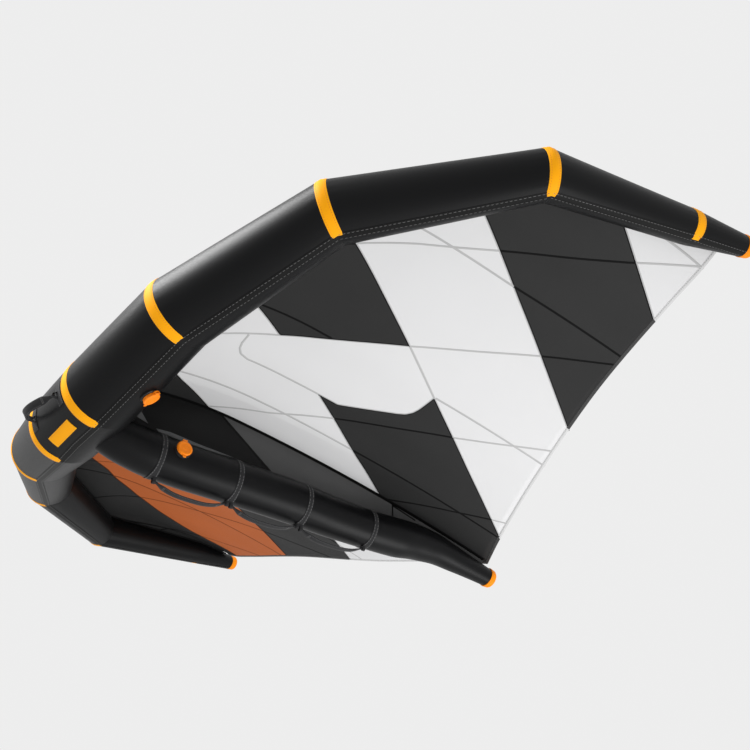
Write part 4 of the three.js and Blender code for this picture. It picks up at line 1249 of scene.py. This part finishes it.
# Painted highlight: the grey lens and triangle on both faces of the front panel.
for sign in (-1, 1):
    a, b = sorted((sign * FIN_T / 2, sign * (FIN_T / 2 + 0.9 * MM)))
    for outline in (HIGHLIGHT_LENS, HIGHLIGHT_TRIANGLE):
        fin_plate(parts, outline, a, b, mat=1)
parts.build("fin_front_cloth", [FIN, PAINTED_HIGHLIGHT_GREY], ["fin_front"], "fin", angle=None, smooth=False)
parts = Parts()
fin_plate(parts, rear_low + rear_top, -FIN_T / 2, FIN_T / 2)
parts.build("fin_rear_cloth", [FIN_GREY], ["fin_rear"], "fin_rear", angle=None, smooth=False)


def fin_tape(parts, sign, ends, step, lift, width, thick):
    """A straight tape on one face of the fin, between two (y, z) ends."""
    pts = [(sign * (FIN_T / 2 + lift), y, z) for y, z in resample(ends, step)]
    pts = np.array(pts)
    straight_strap(parts, pts, np.cross(X * sign, unit(pts[-1] - pts[0])), X * sign, width, thick)


parts = Parts()
split = [(FIN_SPLIT_TOP, fin_top(FIN_SPLIT_TOP)), (FIN_SPLIT_LOW, fin_low(FIN_SPLIT_LOW) + 3 * MM)]
rear_seam = [(REAR_SEAM_Y, fin_top(REAR_SEAM_Y)), (REAR_SEAM_Y, fin_low(REAR_SEAM_Y) + 3 * MM)]
for sign in (-1, 1):
    fin_tape(parts, sign, split, 10 * MM, 0.3 * MM, 9 * MM, 1.2 * MM)
    ys = np.linspace(FIN_TOP_TAPE_Y, FIN_END, 120)
    pts = on_canopy(np.full(120, sign * FIN_TOP_TAPE_X), ys) - Z * 1.0 * MM
    normals = -canopy_normals(pts)
    strap(parts, pts, np.cross(normals, tangents(pts)), normals, 15 * MM, 1.2 * MM)
    for ends in (rear_seam, SHORT_SEAM):
        fin_tape(parts, sign, ends, 8 * MM, 0.2 * MM, 7 * MM, 1.0 * MM)
parts.build("fin_tapes", [SEAM_TAPE])

# Flange of cloth that carries the fin along the top of the strut.
FLANGE_ACROSS = ((-13, 0.4), (-11, 1.9), (0, 2.4), (11, 1.9), (13, 0.4))  # degrees, mm
parts = Parts()
ys = np.linspace(FIN_BASE_Y, FIN_END, 110)
outer = [[strut_point(y, 90 + d, e * MM) for d, e in FLANGE_ACROSS] for y in ys]
inner = [[strut_point(y, 90 + d, 0) for d, _ in FLANGE_ACROSS] for y in ys]
skin(parts, outer, inner)
parts.build("fin_base_tape", [SEAM_TAPE])

# ------------------------------------------------------------------ valves (mm)

NECK_LEN, BORE_R, FLANGE_R, FLANGE_TOP = 24, 12.4, 31, 3.6
COLLAR_R, COLLAR_TOP, CAP_R = 26, 10, 28
HINGE_OUT, HINGE_UP, HINGE_PIN_R = 31.5, 14.2, 1.2
FLANGE_PROFILE = [
    (BORE_R + 2.6, -NECK_LEN), (BORE_R + 2.6, -8), (FLANGE_R - 1, -6.5), (FLANGE_R, -5),
    (FLANGE_R, 1.6), (FLANGE_R - 1.0, 2.6), (FLANGE_R - 3, 3.2), (COLLAR_R + 1.5, FLANGE_TOP),
    (BORE_R, FLANGE_TOP), (BORE_R, -NECK_LEN),
]
COLLAR_PROFILE = [
    (BORE_R - 2.6, -NECK_LEN + 7), (BORE_R - 0.7, -NECK_LEN + 7), (BORE_R - 0.7, 4.1),
    (COLLAR_R - 0.8, 4.1), (COLLAR_R, 4.8), (COLLAR_R, 9.2), (COLLAR_R - 0.8, COLLAR_TOP),
    (BORE_R - 1.6, COLLAR_TOP), (BORE_R - 2.6, COLLAR_TOP - 1),
]
PLUNGER_PROFILE = [
    (0.1, -NECK_LEN + 4.6), (BORE_R - 1.6, -NECK_LEN + 4.6), (BORE_R - 1.0, -NECK_LEN + 5.2),
    (BORE_R - 1.4, -NECK_LEN + 6.4), (2, -NECK_LEN + 6.6), (2, COLLAR_TOP - 5),
    (4.6, COLLAR_TOP - 4.4), (5, COLLAR_TOP - 3.8), (4.4, COLLAR_TOP - 3), (0.1, COLLAR_TOP - 3),
]
CAP_PROFILE = [
    (0.1, 10.5), (CAP_R - 0.7, 10.5), (CAP_R, 11.2), (CAP_R, 14.6), (CAP_R - 0.5, 16),
    (CAP_R - 1.8, 17.2), (CAP_R - 4.5, 17.9), (19, 18), (18.2, 17.3), (10, 17.0), (9.2, 17.7),
    (0.1, 17.9),
]
LE_VALVE_AT = (MIDDLE + 1, 0.4, -58)  # panel, part along it, degrees
STRUT_VALVE_Y, STRUT_VALVE_ANGLE = 0.327, 8


def le_valve_seat():
    i, f, degrees = LE_VALVE_AT
    along = unit(centres[i + 1] - centres[i])
    axis_point = panel_axis(i, f)
    offset = panel_point(i, f, degrees) - axis_point
    offset = offset - along * float(offset @ along)
    return seat(axis_point + offset, unit(offset), along)


def strut_valve_seat():
    z, r = (np.interp(STRUT_VALVE_Y, strut[:, 0], strut[:, k]) for k in (1, 2))
    normal = round_strut(STRUT_VALVE_ANGLE)
    return seat(np.array([0, STRUT_VALVE_Y, z]) + normal * r, normal, Y)


def turned(matrix, degrees):
    c, s = math.cos(math.radians(degrees)), math.sin(math.radians(degrees))
    spin = np.eye(4)
    spin[:2, :2] = [[c, -s], [s, c]]
    return matrix @ spin


def at_mm(matrix, x, y, z):
    return (matrix @ np.array([x * MM, y * MM, z * MM, 1]))[:3]


def mm_lathe(parts, profile, matrix, sides, **settings):
    lathe(parts, [(r * MM, h * MM) for r, h in profile], matrix, sides, **settings)


def round_bar(parts, a, b, radius, up):
    along = unit(b - a)
    side = unit(np.cross(along, up))
    d = np.array([0.85, 1, 1, 1, 1, 0.85]) * 2 * radius
    straight_strap(parts, np.linspace(a, b, 6), side, np.cross(side, along), d, d, ROUND_SECTION)


def block(parts, matrix, x0, x1, y0, y1, z0, z1):
    """A soft-cornered block in a local frame, in mm."""
    pts = [at_mm(matrix, x, (y0 + y1) / 2, (z0 + z1) / 2) for x in np.linspace(x0, x1, 7)]
    scale = np.array([0.8, 0.96, 1, 1, 1, 0.96, 0.8])
    width, height = (y1 - y0) * MM * scale, (z1 - z0) * MM * scale
    straight_strap(parts, pts, matrix[:3, 1], matrix[:3, 2], width, height)


def valve_part(parts, valve, part, material, slot):
    name = f"{valve}_valve_{part}"
    parts.build(f"{name}_moulded", [material], [name], slot, f"{name}_body", angle=35)


for valve, flange, degrees in (("le", le_valve_seat(), 180), ("strut", strut_valve_seat(), -90)):
    top = turned(flange, degrees)
    parts = Parts()
    mm_lathe(parts, FLANGE_PROFILE, flange, 72, ring=True)
    name = f"{valve}_valve_flange"
    parts.build(f"{name}_moulded", [VALVE_BLACK], [name], "valve_black", angle=35)

    parts = Parts()
    mm_lathe(parts, COLLAR_PROFILE, top, 144, ribs=(3, 6, 36, 0.9 * MM), ring=True)
    block(parts, top, -HINGE_OUT - 2.7, -COLLAR_R + 3, -9, 9, 5, 8)
    for y_in in (-8.5, 5.5):
        block(parts, top, -HINGE_OUT - 2.7, -CAP_R - 0.6, y_in, y_in + 3, 5, HINGE_UP + 2.7)
    valve_part(parts, valve, "collar", VALVE_ORANGE, "valve_orange")

    parts = Parts()
    mm_lathe(parts, PLUNGER_PROFILE, top, 40)
    valve_part(parts, valve, "plunger", VALVE_GREY, "valve_grey")

    parts = Parts()
    mm_lathe(parts, CAP_PROFILE, top, 144, ribs=(1, 4, 24, 1.1 * MM))
    block(parts, top, -HINGE_OUT - 2.2, -CAP_R + 4, -5, 5, HINGE_UP - 1.9, HINGE_UP + 1.9)
    a, b = (at_mm(top, -HINGE_OUT, y, HINGE_UP) for y in (-8, 8))
    round_bar(parts, a, b, HINGE_PIN_R * MM, top[:3, 2])
    block(parts, top, CAP_R - 3, CAP_R + 9, -6, 6, 11.5, 14.5)
    valve_part(parts, valve, "cap", VALVE_ORANGE, "valve_orange")

# ------------------------------------------------------------------ bladders stay as CAD nodes

for name in ("le_bladder", "strut_bladder"):
    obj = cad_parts[name]
    obj.data.materials.clear()
    obj.data.materials.append(BLADDER)

# ------------------------------------------------------------------ floor, light and camera

FLOOR_Z, FLOOR_HALF = -3.7, 60.0
mesh = bpy.data.meshes.new("floor")
corners = [(x * FLOOR_HALF, y * FLOOR_HALF, FLOOR_Z) for x, y in ((-1, -1), (1, -1), (1, 1), (-1, 1))]
mesh.from_pydata(corners, [], [(0, 1, 2, 3)])
floor = bpy.data.objects.new("floor", mesh)
collection.objects.link(floor)
pale, _, bsdf = node_material("floor_pale")
bsdf.inputs["Base Color"].default_value = (0.87, 0.87, 0.87, 1)
bsdf.inputs["Roughness"].default_value = 0.9
mesh.materials.append(pale)

world = bpy.data.worlds.new("studio")
bpy.context.scene.world = world
world.use_nodes = True
background = world.node_tree.nodes["Background"]
background.inputs["Color"].default_value = (1, 1, 1, 1)
background.inputs["Strength"].default_value = 0.85

LIGHT_SPREAD = 100  # degrees, so that the low light leaves no hot spot on the floor


def softbox(name, at, target, size_x, size_y, power):
    light = bpy.data.lights.new(name, "AREA")
    light.shape = "RECTANGLE"
    light.size, light.size_y, light.energy = size_x, size_y, power
    light.spread = math.radians(LIGHT_SPREAD)
    obj = bpy.data.objects.new(name, light)
    collection.objects.link(obj)
    obj.location = at
    obj.rotation_mode = "QUATERNION"
    obj.rotation_quaternion = (Vector(target) - Vector(at)).to_track_quat("-Z", "Y")
    obj.visible_camera = False


softbox("low_key", (1.7, 2.2, -3.0), (0.3, 0.1, 0.2), 3.0, 1.4, 32)
softbox("top_fill", (-0.6, -3.1, 3.3), (0.5, -0.4, 0.4), 2.6, 2.6, 110)

CAMERA_AT = (2.776, -1.622, -1.488)
CAMERA_AZ, CAMERA_EL = math.radians(52.674), math.radians(-31.916)
FOCAL, SENSOR, SHIFT_Y = 47.4, 36.0, 0.0392
level = math.cos(CAMERA_EL)
back = Vector((math.sin(CAMERA_AZ) * level, -math.cos(CAMERA_AZ) * level, math.sin(CAMERA_EL)))
cam_data = bpy.data.cameras.new("camera")
cam_data.lens = FOCAL
cam_data.sensor_width = SENSOR
cam_data.shift_y = SHIFT_Y
cam_data.clip_end = 200
camera = bpy.data.objects.new("camera", cam_data)
collection.objects.link(camera)
camera.location = CAMERA_AT
camera.rotation_mode = "QUATERNION"
camera.rotation_quaternion = (-back).to_track_quat("-Z", "Y")
bpy.context.scene.camera = camera
bpy.context.scene.view_settings.view_transform = "Standard"
